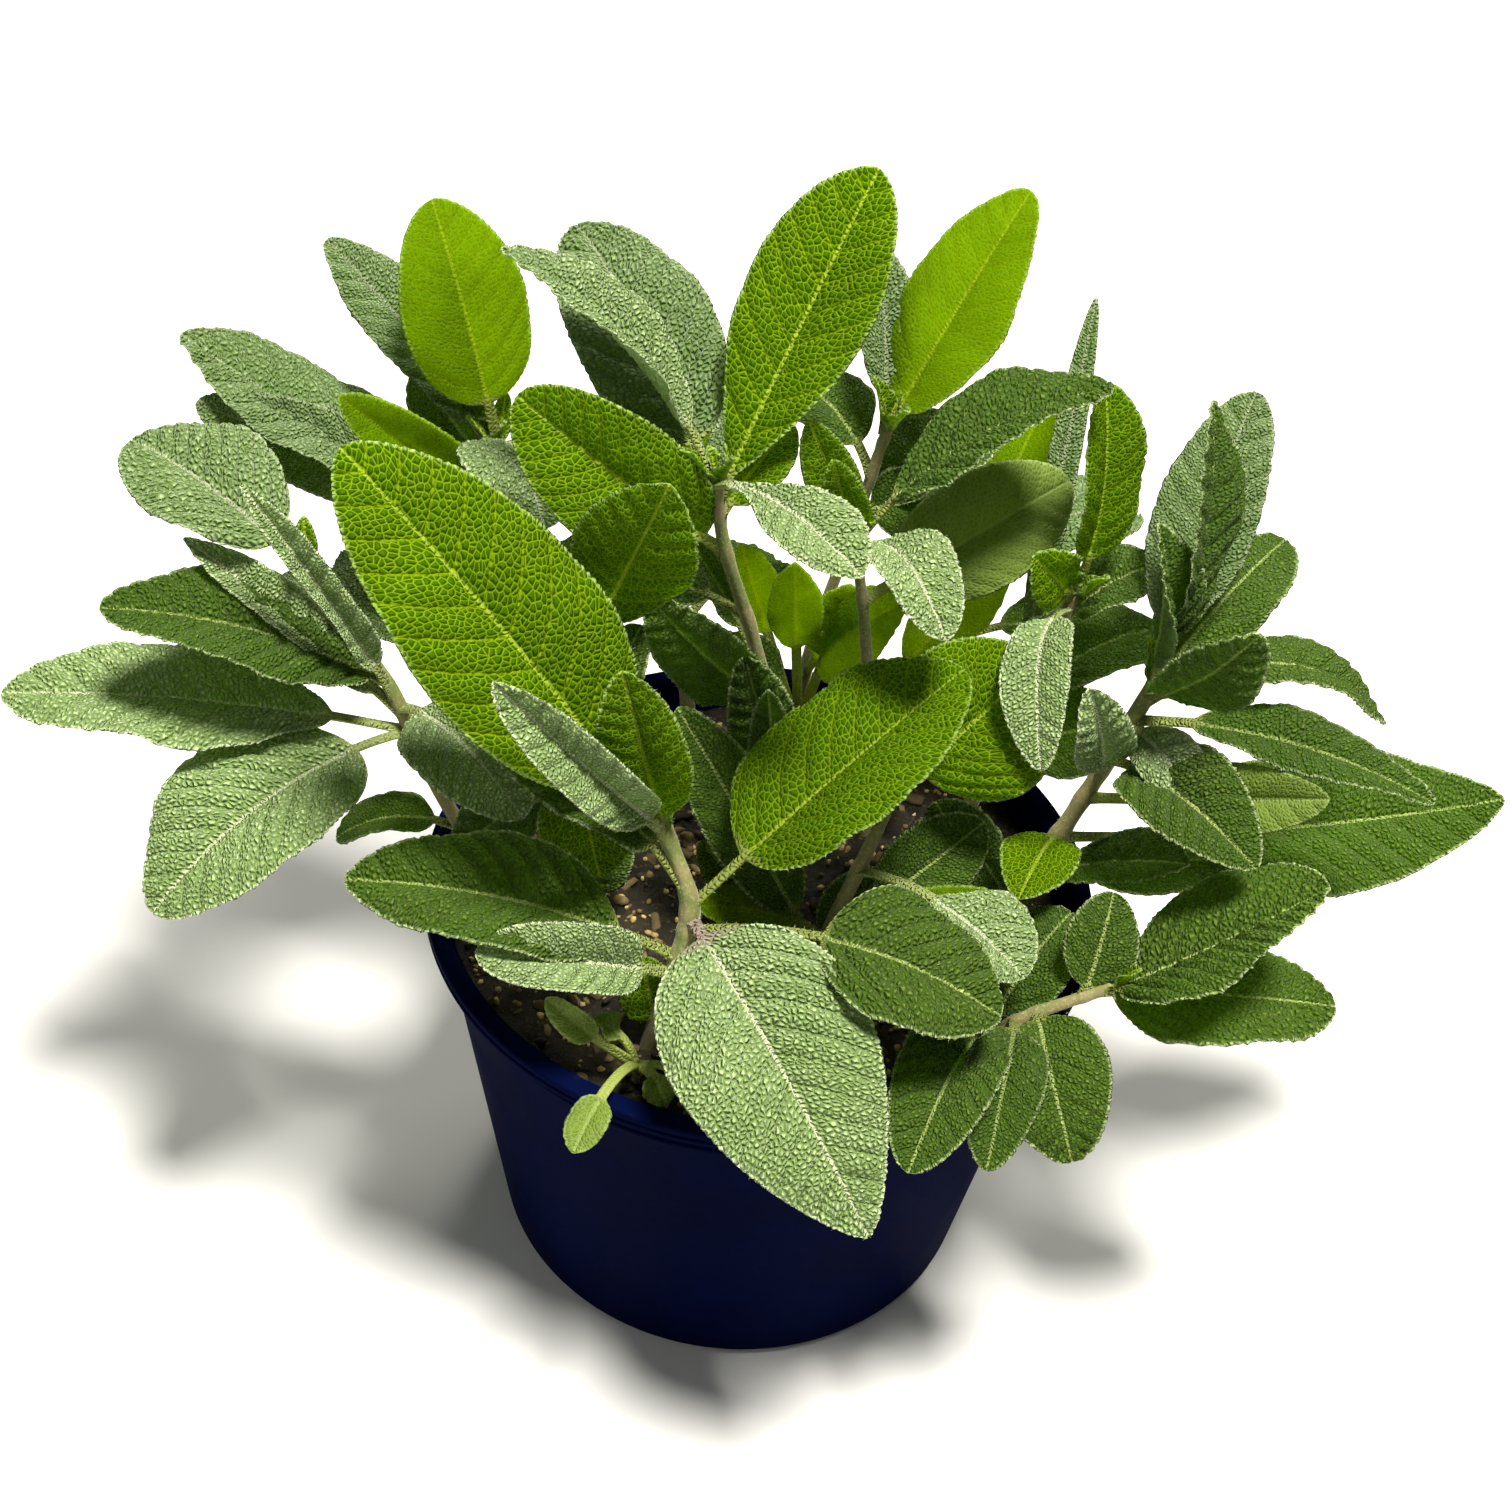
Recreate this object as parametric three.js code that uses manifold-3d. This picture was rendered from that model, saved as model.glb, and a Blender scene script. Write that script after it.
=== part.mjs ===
// A young common sage (Salvia officinalis) in a round tapered nursery pot.
// Millimetres, +Z up, origin at the middle of the pot's underside, -Y towards the viewer.
import * as THREE from "three";
import { mergeVertices } from "three/addons/utils/BufferGeometryUtils.js";
import Module from "manifold-3d";

const wasm = await Module();
wasm.setup();

// The pot: a 14 cm thin-walled container with a turned-out lip and drain holes round its floor.
const POT = {
  height: 94,
  rimRadius: 69.5,
  baseRadius: 53,
  wall: 1.6,
  floor: 1.8,
  lipHeight: 4.5,
  lipProud: 3.4,
  footChamfer: 1.5,
  sides: 48,
};
const DRAIN = { count: 8, radius: 3.5, ring: 41, sides: 10 };

// The compost fills the pot to just under the lip, crowned and lumpy.
const SOIL = { top: 85, crown: 2.5, lump: 1.1, gap: 0.4, rings: 5, sides: 48 };

// What every stem and leaf shares.
const ROOT_DEPTH = 20;
const HOLE_GAP = 0.4;
const STEM_SIDES = 6;
const STEM_STEP = 20;
const STEM_TAPER = 0.62;
const BLADE_THICK = 0.9;
const PETIOLE = { wide: 2.1, thick: 1.5 };
const WIDEST = 0.9;
const FULLNESS = 0.53;
const TAPER = 0.2;
const SPOON = 1.2;
const SCALLOP = 0.03;
const MARGIN_WAVE = 0.9;
const LEAF_STEP = 16.5;

// Each stem: the points of its path from the soil up, its radius at the soil, and its leaves.
// A leaf's numbers are, in order: how far up the stem it leaves (0 to 1), its tip's x, y and z,
// its width, how far its middle arches out of the straight line from stem to tip, how many
// degrees its upper face is rolled to the left about that line, how many it is folded up,
// the share of its length that is petiole, and how far its outline tapers to a point or, below
// 0, widens like a spoon.
const STEMS = {
  stem_front: {
    path: [[-19, -42, 84], [-15, -43, 108], [-13, -39, 123], [-19, -34, 138]],
    radius: 2.3,
    leaves: [
      [0.62, 25, -86, 90, 38, 11, 20, 10, 0.08, 1],
      [0.66, 34, -5, 158, 40, 1, -10, 12, 0.2, 0],
      [1, -27, -40, 178, 17, 2, -115, 14, 0.1, 0],
      [0.97, -47, -52, 183, 15, 3, -88, 45, 0.12, 0.3],
      [0.93, -76, -26, 209, 36, 6, -38, 10, 0.2, 0.2],
      [0.72, -57, -20, 152, 24, 6, 0, 10, 0.2, 0],
      [0.42, -76, -45, 128, 27, 6, -10, 12, 0.2, 0.2],
      [0.34, -50, -58, 125, 17, 4, -40, 40, 0.2, 0],
      [0.55, 46, -54, 117, 34, 8, 0, 8, 0.42, 0.3],
    ],
  },
  stem_left: {
    path: [[-57, 3, 84], [-69, 4, 110], [-77, 4, 134], [-92, 5, 160]],
    radius: 1.8,
    leaves: [
      [0.5, -115, -40, 109, 36, 8, 0, 10, 0.2, 0],
      [0.5, -150, -8, 133, 31, 3, 0, 8, 0.2, -0.1],
      [0.66, -127, -10, 158, 25, 5, -10, 14, 0.08, -0.05],
      [0.62, -99, -6, 185, 10, 2, -64, 50, 0.15, 0.6],
      [0.55, -114, 4, 165, 12, 2, -27, 30, 0.15, 0.6],
      [0.97, -129, 25, 172, 28, 4, -8, 14, 0.2, -0.05],
      [0.58, -46, -25, 128, 23, 8, 10, 8, 0.2, 0],
      [0.16, -89, 0, 94, 14, 5, 0, 12, 0.2, 0],
    ],
  },
  stem_back_left: {
    path: [[-36, 34, 84], [-48, 37, 118], [-56, 42, 145], [-61, 45, 165]],
    radius: 1.9,
    leaves: [
      [1, -74, 52, 214, 26, 3, -35, 8, 0.2, 0],
      [0.9, -98, 66, 196, 18, 4, -10, 14, 0.2, 0],
      [0.62, -123, 45, 184, 32, -1, 0, 12, 0.2, 0],
      [0.7, -119, 36, 174, 18, 1, -57, 14, 0.2, 0],
      [0.7, -86, 18, 190, 15, 2, -80, 36, 0.15, 0],
      [0.8, -79, 54, 175, 16, 2, -46, 12, 0.2, 0],
      [0.97, -47, 12, 169, 26, 8, 0, 12, 0.2, 0],
      [0.55, -82, 58, 150, 22, 6, 0, 10, 0.2, 0],
    ],
  },
  stem_centre_left: {
    path: [[3, 22, 84], [1, 21, 112], [-6, 15, 145], [-13, 9, 172], [-15, 8, 186]],
    radius: 1.8,
    leaves: [
      [0.72, -52, 10, 199, 27, 5, -70, 24, 0.12, 0],
      [1, -56, 20, 223, 18, 6, 8, 30, 0.2, 0],
      [0.87, -46, 50, 213, 28, 7, -12, 8, 0.2, 0],
      [0.93, 9, 35, 237, 26, 1, 20, 16, 0.06, -0.4],
      [1, 12, -28, 194, 16, 6, 16, 10, 0.12, -1],
      [0.35, -25, -4, 166, 18, 3, -121, 12, 0.15, 0],
      [0.55, -44, 22, 146, 22, 7, 0, 10, 0.2, 0],
      [0.4, -20, 26, 159, 9, 2, -14, 14, 0.4, 0],
      [0.3, -11, 27, 136, 15, 2, -20, 12, 0.2, 0],
      [0.86, -2, 22, 191, 12, 2, 29, 14, 0.12, 0],
      [0.16, -7, 2, 150, 15, 3, -140, 12, 0.15, 0],
      [0.1, -2, -3, 146, 11, 2, -162, 14, 0.15, 0],
    ],
  },
  stem_mid_left: {
    path: [[-36, -8, 84], [-39, -8, 110], [-38, -7, 135], [-36, -5, 158]],
    radius: 1.7,
    leaves: [
      [1, -22, -20, 203, 23, 3, 126, 10, 0.12, -0.5],
      [0.5, -28, 12, 148, 15, 1, 0, 14, 0.2, 0],
      [0.45, -60, -24, 114, 18, 5, 0, 10, 0.2, 0],
      [0.55, -31, -27, 116, 20, 4, 10, 12, 0.2, 0],
    ],
  },
  stem_centre_back: {
    path: [[6, 48, 84], [6, 46, 115], [12, 44, 150], [17, 42, 180]],
    radius: 1.6,
    leaves: [
      [1, 39, 60, 223, 24, 1, 10, 8, 0.08, 0],
      [0.97, 12, 66, 206, 12, 3, 0, 20, 0.2, 0],
      [0.85, -6, 62, 176, 20, 6, 0, 10, 0.2, 0],
      [0.7, 40, 62, 168, 24, 5, 0, 12, 0.2, 0],
      [0.1, -10, 34, 153, 12, 2, -116, 12, 0.6, 0],
      [0.14, 13, 36, 144, 14, 2, 138, 12, 0.55, 0],
      [0.08, 1, 28, 154, 12, 2, -161, 12, 0.6, 0],
      [0.3, 24, 30, 146, 18, 4, 73, 12, 0.2, 0],
      [0.75, 28, 46, 161, 15, 2, 52, 12, 0.15, 0],
    ],
  },
  stem_centre_right: {
    path: [[22, 22, 84], [20, 25, 115], [16, 23, 145], [12, 19, 168]],
    radius: 1.6,
    leaves: [
      [1, 56, 24, 204, 27, 6, -5, 16, 0.2, 0.2],
      [0.96, 29, -15, 172, 18, 8, 0, 14, 0.2, 0],
      [0.75, 54, 40, 172, 24, 4, 45, 12, 0.15, 0],
      [0.4, 45, 42, 148, 17, 2, 0, 10, 0.3, 0],
      [0.99, 1, 15, 196, 11, 1, -92, 16, 0.1, 0],
      [0.93, 6, 10, 191, 10, 1, -129, 16, 0.1, 0],
    ],
  },
  stem_right_back: {
    path: [[42, 28, 84], [48, 29, 110], [53, 28, 132], [57, 26, 155]],
    radius: 1.9,
    leaves: [
      [1, 56, 33, 199, 18, 4, 30, 24, 0.2, 0],
      [0.97, 46, 14, 171, 13, 2, -95, 14, 0.3, 0],
      [0.85, 73, 30, 161, 20, 3, 0, 12, 0.2, 0],
      [0.5, 81, 44, 135, 22, 6, 0, 12, 0.2, 0],
      [0.93, 51, -12, 140, 15, 12, 21, 16, 0.2, 0],
      [0.45, 57, 72, 195, 7, 4, 0, 16, 0.2, 0],
      [0.35, 74, 30, 120, 20, 2, 54, 12, 0.15, 0],
    ],
  },
  stem_right: {
    path: [[50, 0, 84], [58, 2, 106], [66, 5, 128], [72, 5, 150]],
    radius: 2.3,
    leaves: [
      [1, 73, 15, 208, 18, 4, 60, 20, 0.2, 0.4],
      [0.96, 66, 4, 188, 15, 3, -40, 35, 0.2, 0.4],
      [0.92, 120, 10, 142, 17, 13, 0, 12, 0.2, 0.5],
      [0.86, 125, -15, 144, 15, 6, 10, 12, 0.2, 0.5],
      [0.4, 151, 16, 120, 34, -5, 20, 8, 0.3, 0.7],
      [0.95, 84, -15, 179, 18, 3, 140, 16, 0.2, 0],
      [0.65, 57, -12, 161, 13, 4, -132, 16, 0.2, 0],
      [0.7, 91, -30, 137, 22, 6, 20, 24, 0.2, 0.4],
      [0.4, 50, -22, 116, 16, 4, 0, 10, 0.2, 0],
      [0.55, 104, -18, 145, 15, 2, 64, 12, 0.25, 0],
      [0.25, 83, -13, 121, 16, 2, 10, 12, 0.2, 0],
      [0.98, 88, 50, 190, 21, 3, -10, 10, 0.2, 0],
      [0.9, 99, 40, 163, 22, 4, 0, 12, 0.2, 0],
      [0.3, 95, -4, 115, 14, 2, 56, 12, 0.2, 0],
      [0.85, 84, -14, 136, 13, 4, 35, 20, 0.15, 0],
    ],
  },
  stem_right_front: {
    path: [[44, -34, 84], [53, -36, 97], [69, -35, 107]],
    radius: 1.8,
    leaves: [
      [1, 103, -35, 139, 35, -1, -10, 14, 0.04, -0.05],
      [0.95, 112, -35, 108, 30, 1, 0, 8, 0.04, 0],
      [0.6, 63, -64, 89, 23, 9, 20, 10, 0.08, 0],
      [0.15, 31, -76, 97, 22, 10, 0, 24, 0.2, 0],
      [0.45, 46, -71, 93, 16, 10, 0, 10, 0.2, 0],
      [0.15, 62, -16, 108, 20, 4, 0, 10, 0.2, 0],
      [0.85, 68, -22, 120, 15, 2, 13, 12, 0.1, 0],
    ],
  },
  stem_centre: {
    path: [[12, -16, 84], [15, -18, 100], [20, -14, 116], [25, -6, 128]],
    radius: 1.9,
    leaves: [
      [0.6, 51, -42, 115, 23, 5, 0, 8, 0.45, -0.15],
      [1, 50, 8, 151, 34, 3, 44, 10, 0.15, 0],
      [0.25, -12, -20, 104, 15, 3, 0, 10, 0.3, 0],
      [0.2, 44, 0, 115, 18, 2, 44, 12, 0.35, 0],
      [0.15, 49, -22, 114, 13, 3, 36, 12, 0.35, 0],
      [0.12, -19, -4, 141, 17, 3, -43, 12, 0.2, 0],
    ],
  },
  stem_back: {
    path: [[-18, 46, 84], [-21, 52, 108], [-25, 58, 128], [-27, 62, 142]],
    radius: 1.9,
    leaves: [
      [1, -34, 78, 178, 22, 5, 0, 12, 0.2, 0],
      [0.97, -10, 80, 160, 20, 5, 0, 12, 0.2, 0],
      [0.85, -56, 88, 140, 26, 8, 0, 10, 0.2, 0],
      [0.7, -24, 104, 116, 28, 11, 0, 10, 0.2, 0.3],
      [0.5, -60, 70, 110, 24, 9, 0, 10, 0.2, 0],
      [0.45, 2, 84, 110, 22, 9, 0, 10, 0.2, 0],
    ],
  },
  stem_back_right: {
    path: [[27, 45, 84], [34, 52, 108], [40, 58, 126], [43, 62, 138]],
    radius: 1.9,
    leaves: [
      [1, 54, 78, 172, 22, 5, 0, 12, 0.2, 0],
      [0.97, 26, 82, 158, 20, 5, 0, 12, 0.2, 0],
      [0.85, 76, 78, 140, 26, 7, 0, 10, 0.2, 0],
      [0.7, 46, 106, 112, 28, 11, 0, 10, 0.2, 0.3],
      [0.5, 86, 60, 112, 24, 9, 0, 10, 0.2, 0],
      [0.4, 28, 86, 104, 20, 9, 0, 10, 0.2, 0],
    ],
  },
  stem_left_back: {
    path: [[-50, 26, 84], [-62, 32, 104], [-73, 36, 118]],
    radius: 1.7,
    leaves: [
      [1, -96, 58, 126, 24, 5, 0, 12, 0.2, 0.3],
      [0.95, -112, 30, 132, 20, 4, 0, 12, 0.2, 0],
      [0.6, -82, 66, 106, 22, 8, 0, 10, 0.2, 0],
    ],
  },
  seedling: {
    path: [[-20.5, -50, 84], [-20.5, -51, 91]],
    radius: 1.0,
    leaves: [
      [1, -30, -76, 94, 8.5, 5, 0, 6, 0.6, 0],
      [0.9, -38, -52, 108, 7, 2, -64, 24, 0.5, 0],
      [0.8, -29, -50, 102, 6.5, 2, 0, 10, 0.6, 0],
      [0.95, -14, -60, 90, 7.5, 3, 0, 10, 0.5, 0],
      [0.85, -8, -56, 89, 7.5, 4, 0, 10, 0.5, 0],
    ],
  },
};

const UP = new THREE.Vector3(0, 0, 1);
const point = ([x, y, z]) => new THREE.Vector3(x, y, z);

// A closed solid from rings of points, all with the same even or odd count, with flat ends.
// The far half of each ring is split the other way, so that a thin blade's two faces match.
function loft(rings) {
  const n = rings[0].length;
  const last = (rings.length - 1) * n;
  const index = [];
  for (let i = 0; i < last; i += n)
    for (let j = 0; j < n; j++) {
      const k = (j + 1) % n;
      const [a, b, c, d] = [i + j, i + k, i + n + k, i + n + j];
      if (j < n / 2) index.push(a, b, c, a, c, d);
      else index.push(a, b, d, b, c, d);
    }
  for (let j = 0; j < n - 2 - j; j++) {
    const [a, b, c, d] = [j, j + 1, n - 2 - j, n - 1 - j];
    index.push(a, d, b, last + a, last + b, last + d);
    if (b !== c) index.push(b, d, c, last + b, last + c, last + d);
  }
  const geometry = new THREE.BufferGeometry();
  const flat = rings.flat().flatMap((p) => [p.x, p.y, p.z]);
  geometry.setAttribute("position", new THREE.Float32BufferAttribute(flat, 3));
  geometry.setIndex(index);
  return geometry;
}

function toSolid(geometry) {
  const bare = geometry.clone();
  bare.deleteAttribute("normal");
  bare.deleteAttribute("uv");
  const merged = mergeVertices(bare, 1e-4);
  return new wasm.Manifold(
    new wasm.Mesh({
      numProp: 3,
      vertProperties: new Float32Array(merged.attributes.position.array),
      triVerts: new Uint32Array(merged.index.array),
    }),
  );
}

function toGeometry(solid) {
  const mesh = solid.getMesh();
  const geometry = new THREE.BufferGeometry();
  geometry.setAttribute("position", new THREE.BufferAttribute(mesh.vertProperties, 3));
  geometry.setIndex(new THREE.BufferAttribute(mesh.triVerts, 1));
  geometry.computeVertexNormals();
  return geometry;
}

function stemCurve(stem) {
  return new THREE.CatmullRomCurve3(stem.path.map(point), false, "centripetal");
}

// The stem from the foot of its root hole to its top, widened by grow for cutting that hole.
function stemSolid(stem, grow = 0) {
  const curve = stemCurve(stem);
  const steps = Math.max(2, Math.round(curve.getLength() / STEM_STEP));
  const foot = curve.getPoint(0).addScaledVector(UP, -ROOT_DEPTH - grow);
  const rings = [ringAcross(foot, UP, stem.radius * STEM_TAPER + grow)];
  for (let i = 0; i <= steps; i++) {
    const t = i / steps;
    const radius = stem.radius * (1 - (1 - STEM_TAPER) * t) + grow;
    rings.push(ringAcross(curve.getPoint(t), curve.getTangent(t), radius));
  }
  return toSolid(loft(rings));
}

function ringAcross(centre, along, radius) {
  const side = new THREE.Vector3(1, 0, 0).addScaledVector(along, -along.x).normalize();
  const front = along.clone().cross(side);
  return Array.from({ length: STEM_SIDES }, (_, i) => {
    const a = (i / STEM_SIDES) * 2 * Math.PI;
    const out = side.clone().multiplyScalar(Math.cos(a)).addScaledVector(front, Math.sin(a));
    return centre.clone().addScaledVector(out, radius);
  });
}

// The share of its full width that a blade has at t, from 0 at its base to 1 at its tip.
function bladeWidth(t, taper) {
  const turn = Math.PI * Math.pow(t, WIDEST - (taper > 0 ? TAPER : SPOON) * taper);
  return Math.pow(Math.abs(Math.sin(turn)), FULLNESS + TAPER * Math.abs(taper));
}

// One leaf: a petiole that widens into a blade folded along its rib, on an arched line.
function leafSolid(base, [, x, y, z, wide, arch, roll, fold, petiole, taper], phase) {
  const tip = new THREE.Vector3(x, y, z);
  const chord = tip.clone().sub(base);
  const length = chord.length();
  const level = chord.clone().cross(UP).normalize();
  const face = level.clone().cross(chord).normalize();
  face.applyAxisAngle(chord.clone().normalize(), THREE.MathUtils.degToRad(roll));
  const middle = base.clone().add(tip).multiplyScalar(0.5).addScaledVector(face, 2 * arch);
  const curve = new THREE.QuadraticBezierCurve3(base, middle, tip);
  const steps = Math.max(4, Math.round(length / LEAF_STEP) + 1);
  const lift = THREE.MathUtils.degToRad(fold);
  const rings = [];
  for (let i = -1; i <= steps; i++) {
    const onBlade = i < 0 ? 0 : (1 - Math.cos((Math.PI * i) / steps)) / 2;
    const t = i < 0 ? 0 : petiole + (1 - petiole) * onBlade;
    const along = curve.getTangent(t);
    const side = along.clone().cross(face).normalize();
    const out = side.clone().cross(along).normalize();
    const scallop = 1 + SCALLOP * (i % 2 ? 1 : -1);
    const half = Math.max(PETIOLE.wide / 2, (wide / 2) * bladeWidth(onBlade, taper) * scallop);
    const open = Math.min(1, (2 * half) / wide);
    const thick = THREE.MathUtils.lerp(PETIOLE.thick, BLADE_THICK, Math.min(1, 4 * onBlade));
    const wave = MARGIN_WAVE * open * Math.sin(2.6 * i + phase);
    const rib = curve.getPoint(t);
    const edge = (hand) =>
      rib
        .clone()
        .addScaledVector(side, hand * half * Math.cos(lift * open))
        .addScaledVector(out, half * Math.sin(lift * open) + hand * wave);
    const top = [edge(-1), rib.clone(), edge(1)];
    const under = top.map((p) => p.clone().addScaledVector(out, -thick)).reverse();
    rings.push([...top, ...under]);
  }
  return toSolid(loft(rings));
}

// A leafy stem with its leaves' roots sunk to its middle, as one solid.
function leafyStem(stem) {
  const curve = stemCurve(stem);
  const leaves = stem.leaves.map((leaf, i) =>
    leafSolid(curve.getPoint(Math.min(leaf[0], 0.985)), leaf, 1.7 * i),
  );
  return wasm.Manifold.union([stemSolid(stem), ...leaves]);
}

// A solid of revolution from a closed outline of [radius, height] pairs.
function turned(outline, sides) {
  const points = [...outline, outline[0]].map(([r, z]) => new THREE.Vector2(r, z));
  return new THREE.LatheGeometry(points, sides).rotateX(Math.PI / 2);
}

function wallRadius(z) {
  const under = POT.rimRadius - POT.lipProud;
  return POT.baseRadius + ((under - POT.baseRadius) * z) / (POT.height - POT.lipHeight);
}

function pot() {
  const { height, wall, floor, lipHeight, rimRadius, baseRadius, footChamfer } = POT;
  const lipBottom = height - lipHeight;
  const inner = (z) => wallRadius(z) - wall;
  const outline = [
    [0, 0],
    [baseRadius - footChamfer, 0],
    [wallRadius(footChamfer), footChamfer],
    [wallRadius(lipBottom), lipBottom],
    [rimRadius, lipBottom + 1],
    [rimRadius, height - 0.8],
    [rimRadius - 0.8, height],
    [inner(height) + 0.6, height],
    [inner(height), height - 0.6],
    [inner(floor), floor],
    [0, floor],
  ];
  let solid = toSolid(turned(outline, POT.sides));
  for (let i = 0; i < DRAIN.count; i++) {
    const a = ((i + 0.5) / DRAIN.count) * 2 * Math.PI;
    const hole = new THREE.CylinderGeometry(DRAIN.radius, DRAIN.radius, 4 * floor, DRAIN.sides)
      .rotateX(Math.PI / 2)
      .translate(DRAIN.ring * Math.cos(a), DRAIN.ring * Math.sin(a), 0);
    solid = solid.subtract(toSolid(hole));
  }
  return solid;
}

// The height of the compost at a point, crowned in the middle with rounded lumps.
function soilHeight(x, y) {
  const far = Math.hypot(x, y) / POT.rimRadius;
  const lumps = Math.sin(x / 5.1 + 1) * Math.cos(y / 4.3) + Math.sin((x + y) / 7.7 + 2);
  return SOIL.top + SOIL.crown * (1 - far * far) + SOIL.lump * lumps * 0.5;
}

function soil() {
  const floor = POT.floor + SOIL.gap;
  const edge = (z) => wallRadius(z) - POT.wall - SOIL.gap;
  const outline = [[0, floor], [edge(floor), floor], [edge(SOIL.top), SOIL.top]];
  for (let i = 1; i <= SOIL.rings; i++)
    outline.push([edge(SOIL.top) * (1 - i / SOIL.rings), SOIL.top]);
  const geometry = turned(outline, SOIL.sides);
  const place = geometry.attributes.position;
  for (let i = 0; i < place.count; i++)
    if (place.getZ(i) > SOIL.top - 0.1 && Math.hypot(place.getX(i), place.getY(i)) < edge(SOIL.top) - 1)
      place.setZ(i, soilHeight(place.getX(i), place.getY(i)));
  let solid = toSolid(geometry);
  for (const stem of Object.values(STEMS)) solid = solid.subtract(stemSolid(stem, HOLE_GAP));
  return solid;
}

const MATERIALS = {
  pot: new THREE.MeshStandardMaterial({ color: 0x141a52, roughness: 0.4, metalness: 0 }),
  soil: new THREE.MeshStandardMaterial({ color: 0x2b2019, roughness: 1, metalness: 0 }),
  sage: new THREE.MeshStandardMaterial({ color: 0x5d8a3c, roughness: 0.8, metalness: 0 }),
};

const plant = new THREE.Group();

function addPiece(name, solid, material) {
  const mesh = new THREE.Mesh(toGeometry(solid), material);
  mesh.name = name;
  plant.add(mesh);
}

addPiece("pot", pot(), MATERIALS.pot);
addPiece("soil", soil(), MATERIALS.soil);
for (const [name, stem] of Object.entries(STEMS)) addPiece(name, leafyStem(stem), MATERIALS.sage);

export default plant;
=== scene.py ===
"""The looks of a young sage in its nursery pot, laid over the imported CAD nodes.

The frame is in metres with +Z up and the viewer at -Y. The tables and shapes below are in
millimetres. Each stem's piece follows the lines of its CAD node and adds what the node leaves out:
the quilted net of veins, the toothed margin, the ribs under the blade, the hairs and the colours.
"""

from collections import namedtuple

import bpy
import numpy as np
from mathutils import Matrix


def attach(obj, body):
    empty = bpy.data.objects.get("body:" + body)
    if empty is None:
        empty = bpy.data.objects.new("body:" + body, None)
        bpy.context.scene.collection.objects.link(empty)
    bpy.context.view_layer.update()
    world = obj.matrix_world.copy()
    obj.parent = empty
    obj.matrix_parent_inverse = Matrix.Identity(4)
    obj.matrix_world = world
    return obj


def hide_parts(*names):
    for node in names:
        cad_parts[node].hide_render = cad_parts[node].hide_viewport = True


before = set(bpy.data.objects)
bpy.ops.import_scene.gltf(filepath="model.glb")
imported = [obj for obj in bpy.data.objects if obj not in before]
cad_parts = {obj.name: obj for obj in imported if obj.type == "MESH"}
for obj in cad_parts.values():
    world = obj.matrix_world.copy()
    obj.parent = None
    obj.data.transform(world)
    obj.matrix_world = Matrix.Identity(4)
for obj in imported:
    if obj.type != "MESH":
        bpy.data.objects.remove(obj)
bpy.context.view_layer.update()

MM = 0.001
UP = np.array([0.0, 0.0, 1.0])
NO_QUADS = np.zeros((0, 4), int)

# The pot, the compost and the stems, from the same numbers as the CAD source.
POT = {"height": 94, "rim": 69.5, "base": 53, "wall": 1.6, "floor": 1.8, "lip": 4.5, "proud": 3.4}
DRAIN = {"count": 8, "radius": 3.5, "ring": 41}
SOIL = {"top": 85, "crown": 2.5, "lump": 1.1, "gap": 0.4}
# How far a stem goes on below its path, and the share of its radius that is left at its tip.
ROOT_DEPTH = 20
STEM_TAPER = 0.62
# The outline of a blade: where it is widest, how full it is, and what a taper or a spoon changes.
WIDEST = 0.9
FULLNESS = 0.53
TAPER = 0.2
SPOON = 1.2
# The slow wave of the margin, and the length of one of the CAD's steps along a leaf.
MARGIN_WAVE = 0.9
LEAF_STEP = 16.5

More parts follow.
